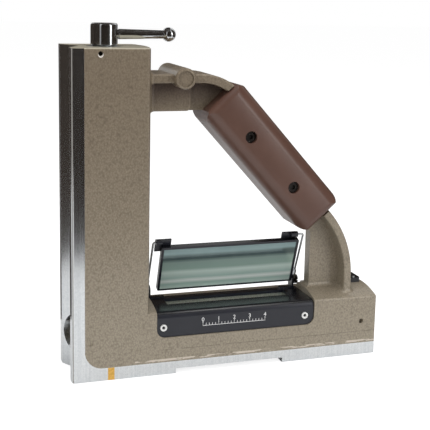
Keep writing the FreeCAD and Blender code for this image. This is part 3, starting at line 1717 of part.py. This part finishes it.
doc.recompute()
bodies = [
    item for item in doc.Objects
    if item.TypeId == "PartDesign::Body" and item not in limbs
]
for item in doc.Objects:
    if "Invalid" in item.State or "Error" in item.State:
        raise RuntimeError("%s could not be built" % item.Name)
for body in bodies:
    if body.Shape.isNull() or not body.Shape.isValid():
        raise RuntimeError("%s has no sound shape" % body.Label)
os.makedirs("parts", exist_ok=True)
for body in bodies:
    body.Shape.exportStep("parts/%s.step" % body.Label)
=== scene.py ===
import math

import bmesh
import bpy
from mathutils import Matrix, Vector


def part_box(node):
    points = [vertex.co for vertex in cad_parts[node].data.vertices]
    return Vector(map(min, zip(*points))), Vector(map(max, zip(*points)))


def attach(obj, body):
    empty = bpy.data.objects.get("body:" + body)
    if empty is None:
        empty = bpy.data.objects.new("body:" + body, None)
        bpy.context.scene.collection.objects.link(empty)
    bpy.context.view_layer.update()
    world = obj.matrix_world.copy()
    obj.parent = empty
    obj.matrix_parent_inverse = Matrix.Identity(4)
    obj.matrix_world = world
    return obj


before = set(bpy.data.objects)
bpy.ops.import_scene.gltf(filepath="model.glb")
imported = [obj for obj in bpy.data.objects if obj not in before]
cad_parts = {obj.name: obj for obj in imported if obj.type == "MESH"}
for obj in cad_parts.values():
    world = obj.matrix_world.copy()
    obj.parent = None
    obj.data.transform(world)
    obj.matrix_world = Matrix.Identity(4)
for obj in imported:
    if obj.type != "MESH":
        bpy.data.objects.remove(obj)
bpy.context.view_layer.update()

# The camera
# The level is seen from the left front and a little above the handle. The lens is shifted upwards,
# which keeps the column nearly upright. The photograph's sizes are in pixels.
photo_width = 430.0
photo_focal = 1020.21
photo_middle_x, photo_middle_y = 249.56, 172.2
sensor_width = 36.0
stand = Vector((-0.20059, -0.60042, 0.23508))
turn, drop, lean = math.radians(19.93), math.radians(10.16), math.radians(-1.49)
ahead = Vector((math.sin(turn) * math.cos(drop), math.cos(turn) * math.cos(drop), -math.sin(drop)))
across = Vector((math.cos(turn), -math.sin(turn), 0.0))
below = ahead.cross(across)
right = math.cos(lean) * across + math.sin(lean) * below
under = -math.sin(lean) * across + math.cos(lean) * below
camera_data = bpy.data.cameras.new("camera")
camera_data.sensor_width = sensor_width
camera_data.lens = photo_focal * sensor_width / photo_width
camera_data.shift_x = (photo_width / 2 - photo_middle_x) / photo_width
camera_data.shift_y = (photo_middle_y - photo_width / 2) / photo_width
camera_data.clip_start = 0.01
camera = bpy.data.objects.new("camera", camera_data)
camera.matrix_world = Matrix.Translation(stand) @ Matrix((right, -under, -ahead)).transposed().to_4x4()
bpy.context.scene.collection.objects.link(camera)
bpy.context.scene.camera = camera
bpy.context.scene.view_settings.view_transform = "Standard"

# The floor and the light
# A white table in a white room with three large soft lamps. Dark cards stand where only polished
# and glossy faces see them, as in a studio, and give those faces their dark bands.


class Wire:
    """One socket of a material. Sums on wires add Math nodes, and node() adds any other node."""

    def __init__(self, tree, socket=None):
        self.tree = tree
        self.socket = socket

    def node(self, kind, socket_shade=None, out=None, **settings):
        made = self.tree.nodes.new("ShaderNode" + kind)
        stops = settings.pop("stops", None)
        for name, value in settings.items():
            setattr(made, name, value)
        if stops:
            ramp = made.color_ramp.elements
            while len(ramp) < len(stops):
                ramp.new(1.0)
            for stop, (place, colour) in zip(ramp, stops):
                stop.position = place
                stop.color = colour
        named = {s.name: s for s in reversed(made.inputs)}
        named.update({s.identifier: s for s in made.inputs})
        for name, value in (socket_shade or {}).items():
            if isinstance(value, Wire):
                self.tree.links.new(value.socket, named[name])
            else:
                named[name].default_value = value
        outs = {s.identifier: s for s in made.outputs}
        first = next(iter(outs.values()), None)
        return Wire(self.tree, outs[out] if out else first)

    def maths(self, operation, first, second):
        return self.node("Math", {"Value": first, "Value_001": second}, operation=operation)

    def mix(self, share, first, second, blend="MIX"):
        ends = {"Factor_Float": share, "A_Color": first, "B_Color": second}
        return self.node("Mix", ends, "Result_Color", data_type="RGBA", blend_type=blend)

    def __add__(self, other):
        return self.maths("ADD", self, other)

    def __radd__(self, other):
        return self.maths("ADD", other, self)

    def __sub__(self, other):
        return self.maths("SUBTRACT", self, other)

    def __rsub__(self, other):
        return self.maths("SUBTRACT", other, self)

    def __mul__(self, other):
        return self.maths("MULTIPLY", self, other)

    def __rmul__(self, other):
        return self.maths("MULTIPLY", other, self)

    def __truediv__(self, other):
        return self.maths("DIVIDE", self, other)

    def __lt__(self, other):
        return self.maths("LESS_THAN", self, other)

    def __gt__(self, other):
        return self.maths("GREATER_THAN", self, other)

    def __and__(self, other):
        return self.maths("MULTIPLY", self, other)

    def __or__(self, other):
        return self.maths("MAXIMUM", self, other)

    def __abs__(self):
        return self.maths("ABSOLUTE", self, 0.0)


def new_material(name):
    """A new empty material and the wire that its nodes are added from."""
    material = bpy.data.materials.new(name)
    material.use_nodes = True
    material.node_tree.nodes.clear()
    return material, Wire(material.node_tree)


def surface(wire, shader):
    """Leads the shader to the surface of the material or the world."""
    kind = "OutputWorld" if wire.tree == bpy.context.scene.world.node_tree else "OutputMaterial"
    wire.node(kind, {"Surface": shader})


white = (1.0, 1.0, 1.0, 1.0)
world = bpy.data.worlds.new("room")
bpy.context.scene.world = world
world.use_nodes = True
world.node_tree.nodes.clear()
room = Wire(world.node_tree)
plain_sight = (room.node("LightPath", out="Is Camera Ray") | room.node("LightPath", out="Is Glossy Ray")
               | room.node("LightPath", out="Is Transmission Ray"))
room_glow = 0.42
surface(room, room.node("Background", {
    "Color": white,
    "Strength": room_glow + (1.0 - room_glow) * plain_sight}))

floor_level = -0.0003
floor_reach = 6.0
floor_mesh = bpy.data.meshes.new("floor")
floor_mesh.from_pydata([(-floor_reach, -floor_reach, floor_level), (floor_reach, -floor_reach, floor_level),
                        (floor_reach, floor_reach, floor_level), (-floor_reach, floor_reach, floor_level)],
                       [], [(0, 1, 2, 3)])
floor = bpy.data.objects.new("floor", floor_mesh)
bpy.context.scene.collection.objects.link(floor)
table_paint, wire = new_material("white table")
pale = wire.node("BsdfDiffuse", {"Color": (0.86, 0.86, 0.86, 1.0)})
bright = wire.node("Emission", {"Color": white, "Strength": 1.62})
to_eye = wire.node("LightPath", out="Is Camera Ray")
surface(wire, wire.node("MixShader", {"Fac": 0.5 * to_eye, "Shader": pale, "Shader_001": bright}))
floor_mesh.materials.append(table_paint)

# The left lamp stays out of reflections, where it would cut the ground faces' dark bands.
for name, place, target, size, power, mirrored in (
        ("lamp_above", (-0.05, -0.25, 1.1), (0.0, 0.0, 0.08), 0.9, 9.0, True),
        ("lamp_left", (-0.9, -0.8, 0.55), (0.0, 0.0, 0.1), 0.8, 4.0, False),
        ("lamp_right", (0.8, -1.0, 0.5), (0.0, 0.0, 0.1), 0.8, 4.5, True)):
    lamp_data = bpy.data.lights.new(name, "AREA")
    lamp_data.size = size
    lamp_data.energy = power
    lamp = bpy.data.objects.new(name, lamp_data)
    lamp.location = place
    lamp.rotation_euler = (Vector(target) - Vector(place)).to_track_quat("-Z", "Y").to_euler()
    lamp.visible_glossy = mirrored
    bpy.context.scene.collection.objects.link(lamp)

# Each card stands square to one axis (0, 1 or 2 for X, Y or Z) between two corners.
card_paint, wire = new_material("dark card")
surface(wire, wire.node("BsdfDiffuse", {"Color": (0.045, 0.036, 0.03, 1.0)}))
for name, axis, place, low, high in (
        ("card_front", 1, -0.3, (-0.3, 0.0), (0.18, 0.9)),
        ("card_left", 1, 0.1, (-0.8, 0.0), (-0.11, 0.9)),
        ("card_side", 0, -0.45, (-0.35, 0.05), (0.5, 0.9)),
        ("card_above", 2, 0.45, (-0.2, -0.28), (0.08, 0.35)),
        ("card_back", 1, 0.4, (-0.08, 0.02), (0.6, 0.4)),
        ("card_right", 0, 0.35, (-0.3, 0.0), (0.2, 0.9))):
    corners = [list(low), [high[0], low[1]], list(high), [low[0], high[1]]]
    for corner in corners:
        corner.insert(axis, place)
    card_mesh = bpy.data.meshes.new(name)
    card_mesh.from_pydata(corners, [], [(0, 1, 2, 3)])
    card_mesh.materials.append(card_paint)
    card = bpy.data.objects.new(name, card_mesh)
    card.visible_camera = False
    card.visible_diffuse = False
    card.visible_transmission = False
    card.visible_shadow = False
    bpy.context.scene.collection.objects.link(card)

# frame_casting, boss_plugs, face_plugs
# One iron casting: column, base, arm, arches and the handle's core, with ground faces down the left
# side and round the foot. All the rest is painted, and so are the plugs in the boss and the front.


def seen(red, green, blue):
    """A colour as it looks on a screen, from 0 to 255, as the linear colour of a socket."""
    return tuple(((c / 255 + 0.055) / 1.055) ** 2.4 if c > 10 else c / 255 / 12.92
                 for c in (red, green, blue)) + (1.0,)


def axes(wire, source):
    """The three numbers of the piece's own Object or Normal coordinates."""
    spot = wire.node("TexCoord", out=source)
    return [wire.node("SeparateXYZ", {"Vector": spot}, axis) for axis in "XYZ"]


def noise(wire, scale, detail=2.0, out="Fac"):
    """Cloudy noise on the piece's own coordinates, with one scale or a scale for each axis."""
    spot = wire.node("TexCoord", out="Object")
    if isinstance(scale, tuple):
        spot = wire.node("Mapping", {"Vector": spot, "Scale": scale})
        scale = 1.0
    return wire.node("TexNoise", {"Vector": spot, "Scale": scale, "Detail": detail}, out)


def reach(wire, along, up):
    """The distance from a point, given how far along X and up from it the surface is."""
    offset = wire.node("CombineXYZ", {"X": along, "Z": up})
    return wire.node("VectorMath", {"Vector": offset}, "Value", operation="LENGTH")


def dress(material, *names):
    """Gives these CAD pieces the material."""
    for name in names:
        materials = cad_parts[name].data.materials
        materials.clear()
        materials.append(material)


casting_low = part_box("frame_casting")[0]
left, bottom = casting_low[0], casting_low[2]
ground_width, ground_height = 0.00755, 0.00805
vee_depth, vee_half = 0.0088, 0.0153
corner_x, corner_z, corner_radius = left + 0.0185, bottom + 0.019, 0.011
worn_edge, column_half, column_height = 0.0009, 0.022, 0.195
web_half, web_low, web_shading = 0.0095, 0.163, 80.0
lip_start, lip_low, lip_high = -0.062, 0.0084, 0.0102
crease_start, crease_height, crease_half = -0.045, 0.016, 0.0003
hole_low, hole_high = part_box("bush_lock_screw")
rim_x = (hole_low[0] + hole_high[0]) / 2
rim_z = (hole_low[2] + hole_high[2]) / 2 - 0.0006
rim_radius, rim_depth = 0.0016, 0.0005

# The ground faces: a band along the column and the base, its rounded inner corner, and the vee.
paint, wire = new_material("hammer paint and ground iron")
x, y, z = axes(wire, "Object")
_, facing_back, facing_up = axes(wire, "Normal")
band = (x < left + ground_width) | (z < bottom + ground_height)
band = band | ((x < left + vee_depth) & (abs(y) < vee_half))
from_corner = reach(wire, x - corner_x, z - corner_z)
corner = (x < corner_x) & (z < corner_z) & (from_corner > corner_radius)
column_top = (facing_up > 0.6) & (z > column_height)
ground = (band | corner) & (1.0 - column_top)

# Hammer finish paint runs into small shallow cells. Painted light makes it paler low down, where light
# comes off the table, and on the column's top, which faces the lamps above.
warp = noise(wire, 300.0, out="Color")
warp = wire.node("VectorMath", {"Vector": warp, "Scale": 0.0016}, operation="SCALE")
bent = wire.node("VectorMath", {"Vector": wire.node("TexCoord", out="Object"), "Vector_001": warp},
                 operation="ADD")
bent = wire.node("Mapping", {"Vector": bent, "Scale": (1.0, 1.0, 0.75)})
cells = wire.node("TexVoronoi", {"Vector": bent, "Scale": 1050.0, "Smoothness": 0.5}, "Distance",
                  feature="SMOOTH_F1")
flake = noise(wire, 1800.0, 3.0)
cloud = noise(wire, 35.0, 3.0)
shade = wire.node("ValToRGB", {"Fac": 0.75 * cells + 0.5 * flake}, stops=[
    (0.2, seen(168, 159, 141)), (0.62, seen(138, 128, 111)), (0.95, seen(104, 94, 79))])
shade = wire.mix(0.2 + 0.4 * cloud, shade, seen(145, 136, 119))
# Painted shade: the paint is darkened towards the top of the casting.
shade = wire.mix(5.6 * z, shade, (0.68, 0.62, 0.57, 1.0), blend="MULTIPLY")
# Painted light: the column's top is made paler, as if lit from above.
shade = wire.mix(0.7 * column_top, shade, seen(190, 184, 164))

# Painted shade darkens the arm's web towards its top, under the flange. The lock screw's hole has a pale
# lower rim, a painted highlight. A painted shade line runs along the base's side, and the lip over the
# ground band has a painted highlight, pale and broken in patches.
# Painted shade under the flange, darkest at the top of the web.
web_shade = (abs(y) < web_half) & (abs(facing_back) > 0.7) & (web_shading * (z - web_low))
shade = wire.mix(web_shade, shade, (0.42, 0.35, 0.37, 1.0), blend="MULTIPLY")
# Painted highlight: a pale crescent on the lower rim of the lock screw's hole.
rim_highlight = (reach(wire, x - rim_x, z - rim_z) < rim_radius) & (y < rim_depth - column_half)
shade = wire.mix(0.8 * rim_highlight, shade, seen(236, 230, 222))
# Painted shade: a faint dark line where the base's side fillet meets its flat.
crease_shade = (abs(z - crease_height) < crease_half) & (x > crease_start) & (cloud > 0.42)
shade = wire.mix(0.35 * crease_shade, shade, seen(84, 74, 60))
patches = noise(wire, (90.0, 500.0, 700.0), 5.0)
# Painted highlight along the rounded lip over the ground band, broken in patches.
lip_highlight = (z > lip_low + 0.0008 * patches) & (z < lip_high) & (x > lip_start) & (patches > 0.48)
shade = wire.mix(0.55 * lip_highlight, shade, seen(226, 214, 200))

# The iron is ground across, with long faint streaks down the column, and worn matt on its edges.
scratch = noise(wire, (900.0, 60.0, 900.0), 4.0)
streak = noise(wire, (900.0, 900.0, 9.0), 3.0)
iron = wire.node("ValToRGB", {"Fac": 0.5 * scratch + 0.5 * streak}, stops=[
    (0.3, seen(200, 204, 207)), (0.7, seen(228, 230, 231))])
edge = (x < left + worn_edge) & (abs(y) > column_half - worn_edge)
iron = wire.mix(0.8 * edge, iron, seen(120, 114, 106))
surface(wire, wire.node("BsdfPrincipled", {
    "Base Color": wire.mix(ground, shade, iron),
    "Metallic": 0.2 + 0.8 * ground - 0.9 * (ground & edge),
    "Roughness": 0.42 - 0.27 * ground + 0.2 * edge + 0.06 * streak,
    "Coat Weight": 0.4 - 0.4 * ground,
    "Coat Roughness": 0.16,
    "Normal": wire.node("Bump", {
        "Strength": 0.35, "Distance": 0.0002,
        "Height": (1.0 - ground) * cells + 0.05 * scratch})}))
dress(paint, "frame_casting", "boss_plugs", "face_plugs")

# brass_spacer
# A strip of brass let into the column's foot, which parts the two poles of the magnet. It is ground
# flush with the iron around it.
brass, wire = new_material("ground brass")
scratch = noise(wire, (900.0, 60.0, 900.0), 4.0)
surface(wire, wire.node("BsdfPrincipled", {
    "Base Color": wire.node("ValToRGB", {"Fac": scratch}, stops=[
        (0.3, seen(206, 158, 74)), (0.7, seen(236, 190, 104))]),
    "Metallic": 0.85,
    "Roughness": 0.3 + 0.12 * scratch}))
dress(brass, "brass_spacer")

# The magnet's switch, with its hub, lever and set screw, and the other bright steel pieces
# Hub, lever and screw are chromed, and the lever's rod is pressed into the hub. The rotor, bearing,
# spindle, bush, sleeve, plugs, spring and the mirror's arms are bare turned steel.
chrome, wire = new_material("chromed steel")
smudge = noise(wire, 160.0, 3.0)
surface(wire, wire.node("BsdfPrincipled", {
    "Base Color": wire.mix(smudge, seen(196, 198, 200), seen(220, 222, 224)),
    "Metallic": 1.0,
    "Roughness": 0.05 + 0.08 * smudge}))
dress(chrome, "switch_hub", "switch_lever", "hub_set_screw")

steel, wire = new_material("turned steel")
turning = noise(wire, (120.0, 120.0, 2500.0), 3.0)
surface(wire, wire.node("BsdfPrincipled", {
    "Base Color": wire.mix(turning, seen(160, 164, 168), seen(200, 203, 206)),
    "Metallic": 1.0,
    "Roughness": 0.22 + 0.16 * turning}))
dress(steel, "magnet_rotor", "rotor_bearing", "switch_spindle", "spindle_bush", "vial_sleeve",
      "vial_plug_left", "vial_plug_right", "vial_adjust_screw", "vial_spring",
      "mirror_arm_left", "mirror_arm_right", "cross_vial_screws")

# The black screws and nuts: of the lock, the hinges, the brackets and the grip
# Steel with an oiled black oxide finish, worn a little to the bare steel.
oxide, wire = new_material("black oxide")
wear = noise(wire, 900.0, 4.0)
surface(wire, wire.node("BsdfPrincipled", {
    "Base Color": wire.mix(wear > 0.64, seen(52, 48, 46), seen(120, 118, 114)),
    "Metallic": 0.9,
    "Roughness": 0.25 + 0.2 * wear}))
dress(oxide, "bush_lock_screw", "hinge_screw_left", "hinge_screw_right", "bracket_screws",
      "grip_screws", "grip_nuts")

# cover_screws
# Two plated socket screws with round heads. Their sockets are painted dark as shade.
plated, wire = new_material("plated socket screws")
x, _, z = axes(wire, "Object")
rub = noise(wire, 900.0, 3.0)
screw_low, screw_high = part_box("cover_screws")
head_radius = (screw_high[2] - screw_low[2]) / 2
socket_radius = 0.45 * head_radius
screw_z = (screw_high[2] + screw_low[2]) / 2
from_left = reach(wire, x - (screw_low[0] + head_radius), z - screw_z)
from_right = reach(wire, x - (screw_high[0] - head_radius), z - screw_z)
# Painted shade: the sockets are coloured dark.
socket_shade = (from_left < socket_radius) | (from_right < socket_radius)
plating = wire.mix(rub, seen(224, 224, 222), seen(244, 244, 242))
surface(wire, wire.node("BsdfPrincipled", {
    "Base Color": wire.mix(socket_shade, plating, seen(22, 22, 22)),
    "Metallic": 0.7 - 0.7 * socket_shade,
    "Roughness": 0.3 + 0.2 * rub}))
dress(plated, "cover_screws")

# vial_cover, the mirror's frame and ears, the hinge brackets and cross_vial_housing
# Bent and cut plate with a satin black finish, smoother on top, where it is also painted darker as shade.
black, wire = new_material("satin black finish")
on_top = axes(wire, "Normal")[2] > 0.6
grain = noise(wire, 2600.0)
haze = noise(wire, 60.0, 3.0)
finish = wire.mix(haze, seen(17, 19, 28), seen(26, 28, 38))
surface(wire, wire.node("BsdfPrincipled", {
    # Painted shade: faces turned upwards are darkened.
    "Base Color": wire.mix(0.8 * on_top, finish, seen(8, 9, 11)),
    "Roughness": 0.3 - 0.14 * on_top + 0.12 * grain,
    "Coat Weight": 0.15,
    "Coat Roughness": 0.2,
    "Normal": wire.node("Bump", {"Strength": 0.1, "Distance": 0.00005, "Height": grain})}))
dress(black, "vial_cover", "mirror_frame", "mirror_ear_left", "mirror_ear_right",
      "hinge_bracket_left", "hinge_bracket_right", "cross_vial_housing")

# The index scale on the cover's front
# Fine white lines with plain numbers, engraved in the black plate and filled with paint. A long line
# with a number stands at every fifth short one, and all stand on a base line.
filling, wire = new_material("white filling")
patchy = noise(wire, 1500.0)
surface(wire, wire.node("BsdfPrincipled", {
    "Base Color": wire.mix(patchy, seen(196, 196, 196), seen(236, 236, 236)),
    "Roughness": 0.5 + 0.1 * patchy}))


def row_of_copies(name, material, body, start, step, count, form):
    """Copies of a small form along a line, from a node group with its own inputs."""
    group = bpy.data.node_groups.new(name, "GeometryNodeTree")
    group.interface.new_socket("Geometry", in_out="OUTPUT", socket_type="NodeSocketGeometry")
    for word, kind, value in (("First", "NodeSocketVector", start), ("Step", "NodeSocketVector", step),
                              ("Count", "NodeSocketInt", count)):
        socket = group.interface.new_socket(word, in_out="INPUT", socket_type=kind)
        socket.default_value = value
    given = group.nodes.new("NodeGroupInput")
    line = group.nodes.new("GeometryNodeMeshLine")
    line.mode = "OFFSET"
    spread = group.nodes.new("GeometryNodeInstanceOnPoints")
    solid = group.nodes.new("GeometryNodeRealizeInstances")
    coat = group.nodes.new("GeometryNodeSetMaterial")
    coat.inputs["Material"].default_value = material
    result = group.nodes.new("NodeGroupOutput")
    for source, target in ((given.outputs["First"], line.inputs["Start Location"]),
                           (given.outputs["Step"], line.inputs["Offset"]),
                           (given.outputs["Count"], line.inputs["Count"]),
                           (line.outputs["Mesh"], spread.inputs["Points"]),
                           (form(group), spread.inputs["Instance"]),
                           (spread.outputs["Instances"], solid.inputs["Geometry"]),
                           (solid.outputs["Geometry"], coat.inputs["Geometry"]),
                           (coat.outputs["Geometry"], result.inputs["Geometry"])):
        group.links.new(source, target)
    carrier = bpy.data.objects.new(name, bpy.data.meshes.new(name))
    bpy.context.scene.collection.objects.link(carrier)
    modifier = carrier.modifiers.new(name, "NODES")
    modifier.node_group = group
    for item in group.interface.items_tree:
        if item.in_out == "INPUT":
            modifier[item.identifier] = item.default_value
    depsgraph = bpy.context.evaluated_depsgraph_get()
    mesh = bpy.data.meshes.new_from_object(carrier.evaluated_get(depsgraph))
    carrier.modifiers.clear()
    carrier.data = mesh
    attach(carrier, body)


def block(*size):
    """Fills a node group with a box of this size."""
    def form(group):
        cube = group.nodes.new("GeometryNodeMeshCube")
        cube.inputs["Size"].default_value = size
        return cube.outputs["Mesh"]
    return form


scale_face = -0.02155
scale_start, scale_low = -0.0188, 0.0292
short_step, short_count = 0.00205, 21
long_every = 5
short_line = (0.00025, 0.0002, 0.0014)
long_line = (0.00035, 0.0002, 0.0024)
base_line = ((short_count - 1) * short_step + 0.0003, 0.0002, 0.00025)
number_size, number_depth, number_low = 0.0036, 0.0001, 0.0318
for name, step, count, size in (
        ("scale_short_lines", short_step, short_count, short_line),
        ("scale_long_lines", short_step * long_every, short_count // long_every + 1, long_line)):
    row_of_copies(name, filling, "frame", (scale_start, scale_face, scale_low + size[2] / 2),
                  (step, 0.0, 0.0), count, block(*size))
scale_middle = scale_start + (short_count - 1) * short_step / 2
row_of_copies("scale_base_line", filling, "frame", (scale_middle, scale_face, 0.0291), (0.0, 0.0, 0.0), 1,
              block(*base_line))
for index in range(short_count // long_every + 1):
    number = bpy.data.curves.new("scale_number_%d" % index, "FONT")
    number.body = str(index)
    number.size = number_size
    number.align_x = "CENTER"
    number.extrude = number_depth
    number.materials.append(filling)
    written = bpy.data.objects.new("written", number)
    bpy.context.scene.collection.objects.link(written)
    mesh = bpy.data.meshes.new_from_object(written.evaluated_get(bpy.context.evaluated_depsgraph_get()))
    bpy.data.objects.remove(written)
    number_x = scale_start + index * short_step * long_every
    mesh.transform(Matrix.Translation((number_x, scale_face, number_low))
                   @ Matrix.Rotation(math.pi / 2, 4, "X"))
    figure = bpy.data.objects.new("scale_number_%d" % index, mesh)
    bpy.context.scene.collection.objects.link(figure)
    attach(figure, "frame")

# window_glass, main_vial, cross_vial
# The clear strip in the cover's window and the two vials, of thin slightly green glass.
glass, wire = new_material("clear glass")
cloud = noise(wire, 90.0)
surface(wire, wire.node("BsdfPrincipled", {
    "Base Color": wire.mix(cloud, seen(196, 214, 205), seen(214, 228, 220)),
    "Roughness": 0.03 + 0.03 * cloud,
    "Alpha": 0.12}))
dress(glass, "window_glass", "main_vial", "cross_vial")

# mirror_glass
# The silvered reading mirror, held in its frame. A painted reflection runs up it in long pale and dark
# bands, for the cover's top, the window's edge and the vial's highlights.
silver, wire = new_material("silvered glass")
z = axes(wire, "Object")[2]
cloud = noise(wire, 90.0)
mirror_low, mirror_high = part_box("mirror_glass")
rise = (z - mirror_low[2]) / (mirror_high[2] - mirror_low[2]) + 0.05 * noise(wire, (16.0, 60.0, 60.0))
# Painted reflection: bands up the mirror's height stand in for what it would show.
painted_reflection = wire.node("ValToRGB", {"Fac": rise}, stops=[
    (0.0, seen(226, 244, 236)), (0.13, seen(180, 206, 196)), (0.2, seen(250, 255, 252)),
    (0.27, seen(186, 212, 203)), (0.42, seen(222, 240, 232)), (0.5, seen(158, 184, 173)),
    (0.66, seen(150, 172, 164)), (0.74, seen(74, 90, 92)), (0.82, seen(78, 94, 96)),
    (0.88, seen(120, 142, 143)), (1.0, seen(110, 130, 132))])
surface(wire, wire.node("BsdfPrincipled", {
    "Base Color": wire.mix(0.15 * cloud, painted_reflection, seen(192, 212, 205)),
    "Metallic": 0.4,
    "Roughness": 0.03 + 0.03 * cloud}))
dress(silver, "mirror_glass")

# vial_liquid, vial_bubble
# The main vial is filled with a pale green liquid, sealed with domed ends. A long flat bubble floats
# at its top.
liquid, wire = new_material("vial liquid")
cloud = noise(wire, 60.0)
surface(wire, wire.node("BsdfPrincipled", {
    "Base Color": wire.mix(cloud, seen(196, 222, 196), seen(208, 230, 206)),
    "Roughness": 0.08 + 0.04 * cloud}))

air, wire = new_material("vial bubble")
cloud = noise(wire, 200.0)
surface(wire, wire.node("BsdfPrincipled", {
    "Base Color": wire.mix(cloud, seen(226, 240, 226), seen(238, 248, 238)),
    "Roughness": 0.04 + 0.04 * cloud}))


def turned(name, profile, centre, material, body, flat=1.0):
    """A body of revolution along X from steps along it and radii, pressed flat in height."""
    around = 48
    mesh = bpy.data.meshes.new(name)
    form = bmesh.new()
    rings = []
    for along, radius in profile:
        rings.append([form.verts.new((centre[0] + along,
                                      centre[1] + radius * math.cos(math.tau * k / around),
                                      centre[2] + flat * radius * math.sin(math.tau * k / around)))
                      for k in range(around)])
    for one, two in zip(rings, rings[1:]):
        for k in range(around):
            form.faces.new((one[k], two[k], two[(k + 1) % around], one[(k + 1) % around]))
    form.faces.new(rings[0])
    form.faces.new(list(reversed(rings[-1])))
    bmesh.ops.recalc_face_normals(form, faces=form.faces)
    for face in form.faces:
        face.smooth = len(face.verts) == 4
    form.to_mesh(mesh)
    form.free()
    mesh.materials.append(material)
    made = bpy.data.objects.new(name, mesh)
    bpy.context.scene.collection.objects.link(made)
    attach(made, body)


vial_low, vial_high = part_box("main_vial")
vial_middle = [(low + high) / 2 for low, high in zip(vial_low, vial_high)]
vial_half = (vial_high[0] - vial_low[0]) / 2
vial_radius = (vial_high[2] - vial_low[2]) / 2
bore_radius = 0.82 * vial_radius
filled_half = 0.94 * vial_half
dome = 0.6 * bore_radius
liquid_end = [(filled_half - dome * (1 - math.cos(angle)), bore_radius * math.sin(angle))
              for angle in (0.02, 0.3, 0.6, 0.9, 1.2, 1.57)]
turned("vial_liquid", [(-along, radius) for along, radius in liquid_end] + list(reversed(liquid_end)),
       vial_middle, liquid, "frame")

bubble_half, bubble_radius, bubble_flat = 0.3 * vial_half, 0.0042, 0.35
bubble_lift = bore_radius - 0.0008
bubble_angles = [math.pi * (k + 0.05) / 24.1 for k in range(25)]
turned("vial_bubble", [(bubble_half * math.cos(a), bubble_radius * math.sin(a)) for a in bubble_angles],
       (vial_middle[0], vial_middle[1], vial_middle[2] + bubble_lift), air, "frame", flat=bubble_flat)

# vial_lines_left, vial_lines_right
# Fine black division lines round the upper side of the main vial, a row at each end of the bubble.
ink, wire = new_material("black ink lines")
cloud = noise(wire, 900.0)
surface(wire, wire.node("BsdfPrincipled", {
    "Base Color": wire.mix(cloud, seen(14, 14, 14), seen(30, 30, 30)),
    "Roughness": 0.4 + 0.1 * cloud}))


def hoop(radius, start, sweep, thick):
    """Fills a node group with a thin arc round the X axis."""
    def form(group):
        arc = group.nodes.new("GeometryNodeCurveArc")
        arc.inputs["Resolution"].default_value = 24
        arc.inputs["Radius"].default_value = radius
        arc.inputs["Start Angle"].default_value = start
        arc.inputs["Sweep Angle"].default_value = sweep
        section = group.nodes.new("GeometryNodeCurvePrimitiveCircle")
        section.inputs["Resolution"].default_value = 6
        section.inputs["Radius"].default_value = thick
        solid = group.nodes.new("GeometryNodeCurveToMesh")
        turn_up = group.nodes.new("GeometryNodeTransform")
        turn_up.inputs["Rotation"].default_value = (math.pi / 2, 0.0, math.pi / 2)
        group.links.new(arc.outputs["Curve"], solid.inputs["Curve"])
        group.links.new(section.outputs["Curve"], solid.inputs["Profile Curve"])
        group.links.new(solid.outputs["Mesh"], turn_up.inputs["Geometry"])
        return turn_up.outputs["Geometry"]
    return form


line_radius, line_thickness = vial_radius + 0.00004, 0.0002
line_step, line_count = 0.002, 8
line_start, line_sweep = math.radians(50.4), math.radians(79.2)
for name, side in (("vial_lines_left", -1), ("vial_lines_right", 1)):
    first_x = vial_middle[0] + side * 0.75 * bubble_half
    row_of_copies(name, ink, "frame", (first_x, vial_middle[1], vial_middle[2]),
                  (side * line_step, 0.0, 0.0), line_count,
                  hoop(line_radius, line_start, line_sweep, line_thickness))

# grip_front, grip_back
# Two halves of a moulded brown insulating grip that close round the handle's core. Their faces are
# slightly crowned. Two screws and nuts clamp them.
brown, wire = new_material("brown moulding")
x, _, z = axes(wire, "Object")
grain = noise(wire, 2200.0, 3.0)
cloud = noise(wire, 70.0, 3.0)
grip_slant = math.radians(48.16)
grip_x, grip_z = 0.0319, 0.12585
aside = (x - grip_x) * math.sin(grip_slant) + (z - grip_z) * math.cos(grip_slant)
crown = wire.node("Bump", {"Strength": 1.0, "Distance": 1.0, "Height": aside * aside * -9.0})
surface(wire, wire.node("BsdfPrincipled", {
    "Base Color": wire.mix(cloud, seen(79, 55, 46), seen(94, 68, 58)),
    "Roughness": 0.27 + 0.12 * grain,
    "Normal": wire.node("Bump", {
        "Strength": 0.2, "Distance": 0.00006, "Height": grain, "Normal": crown})}))
dress(brown, "grip_front", "grip_back")
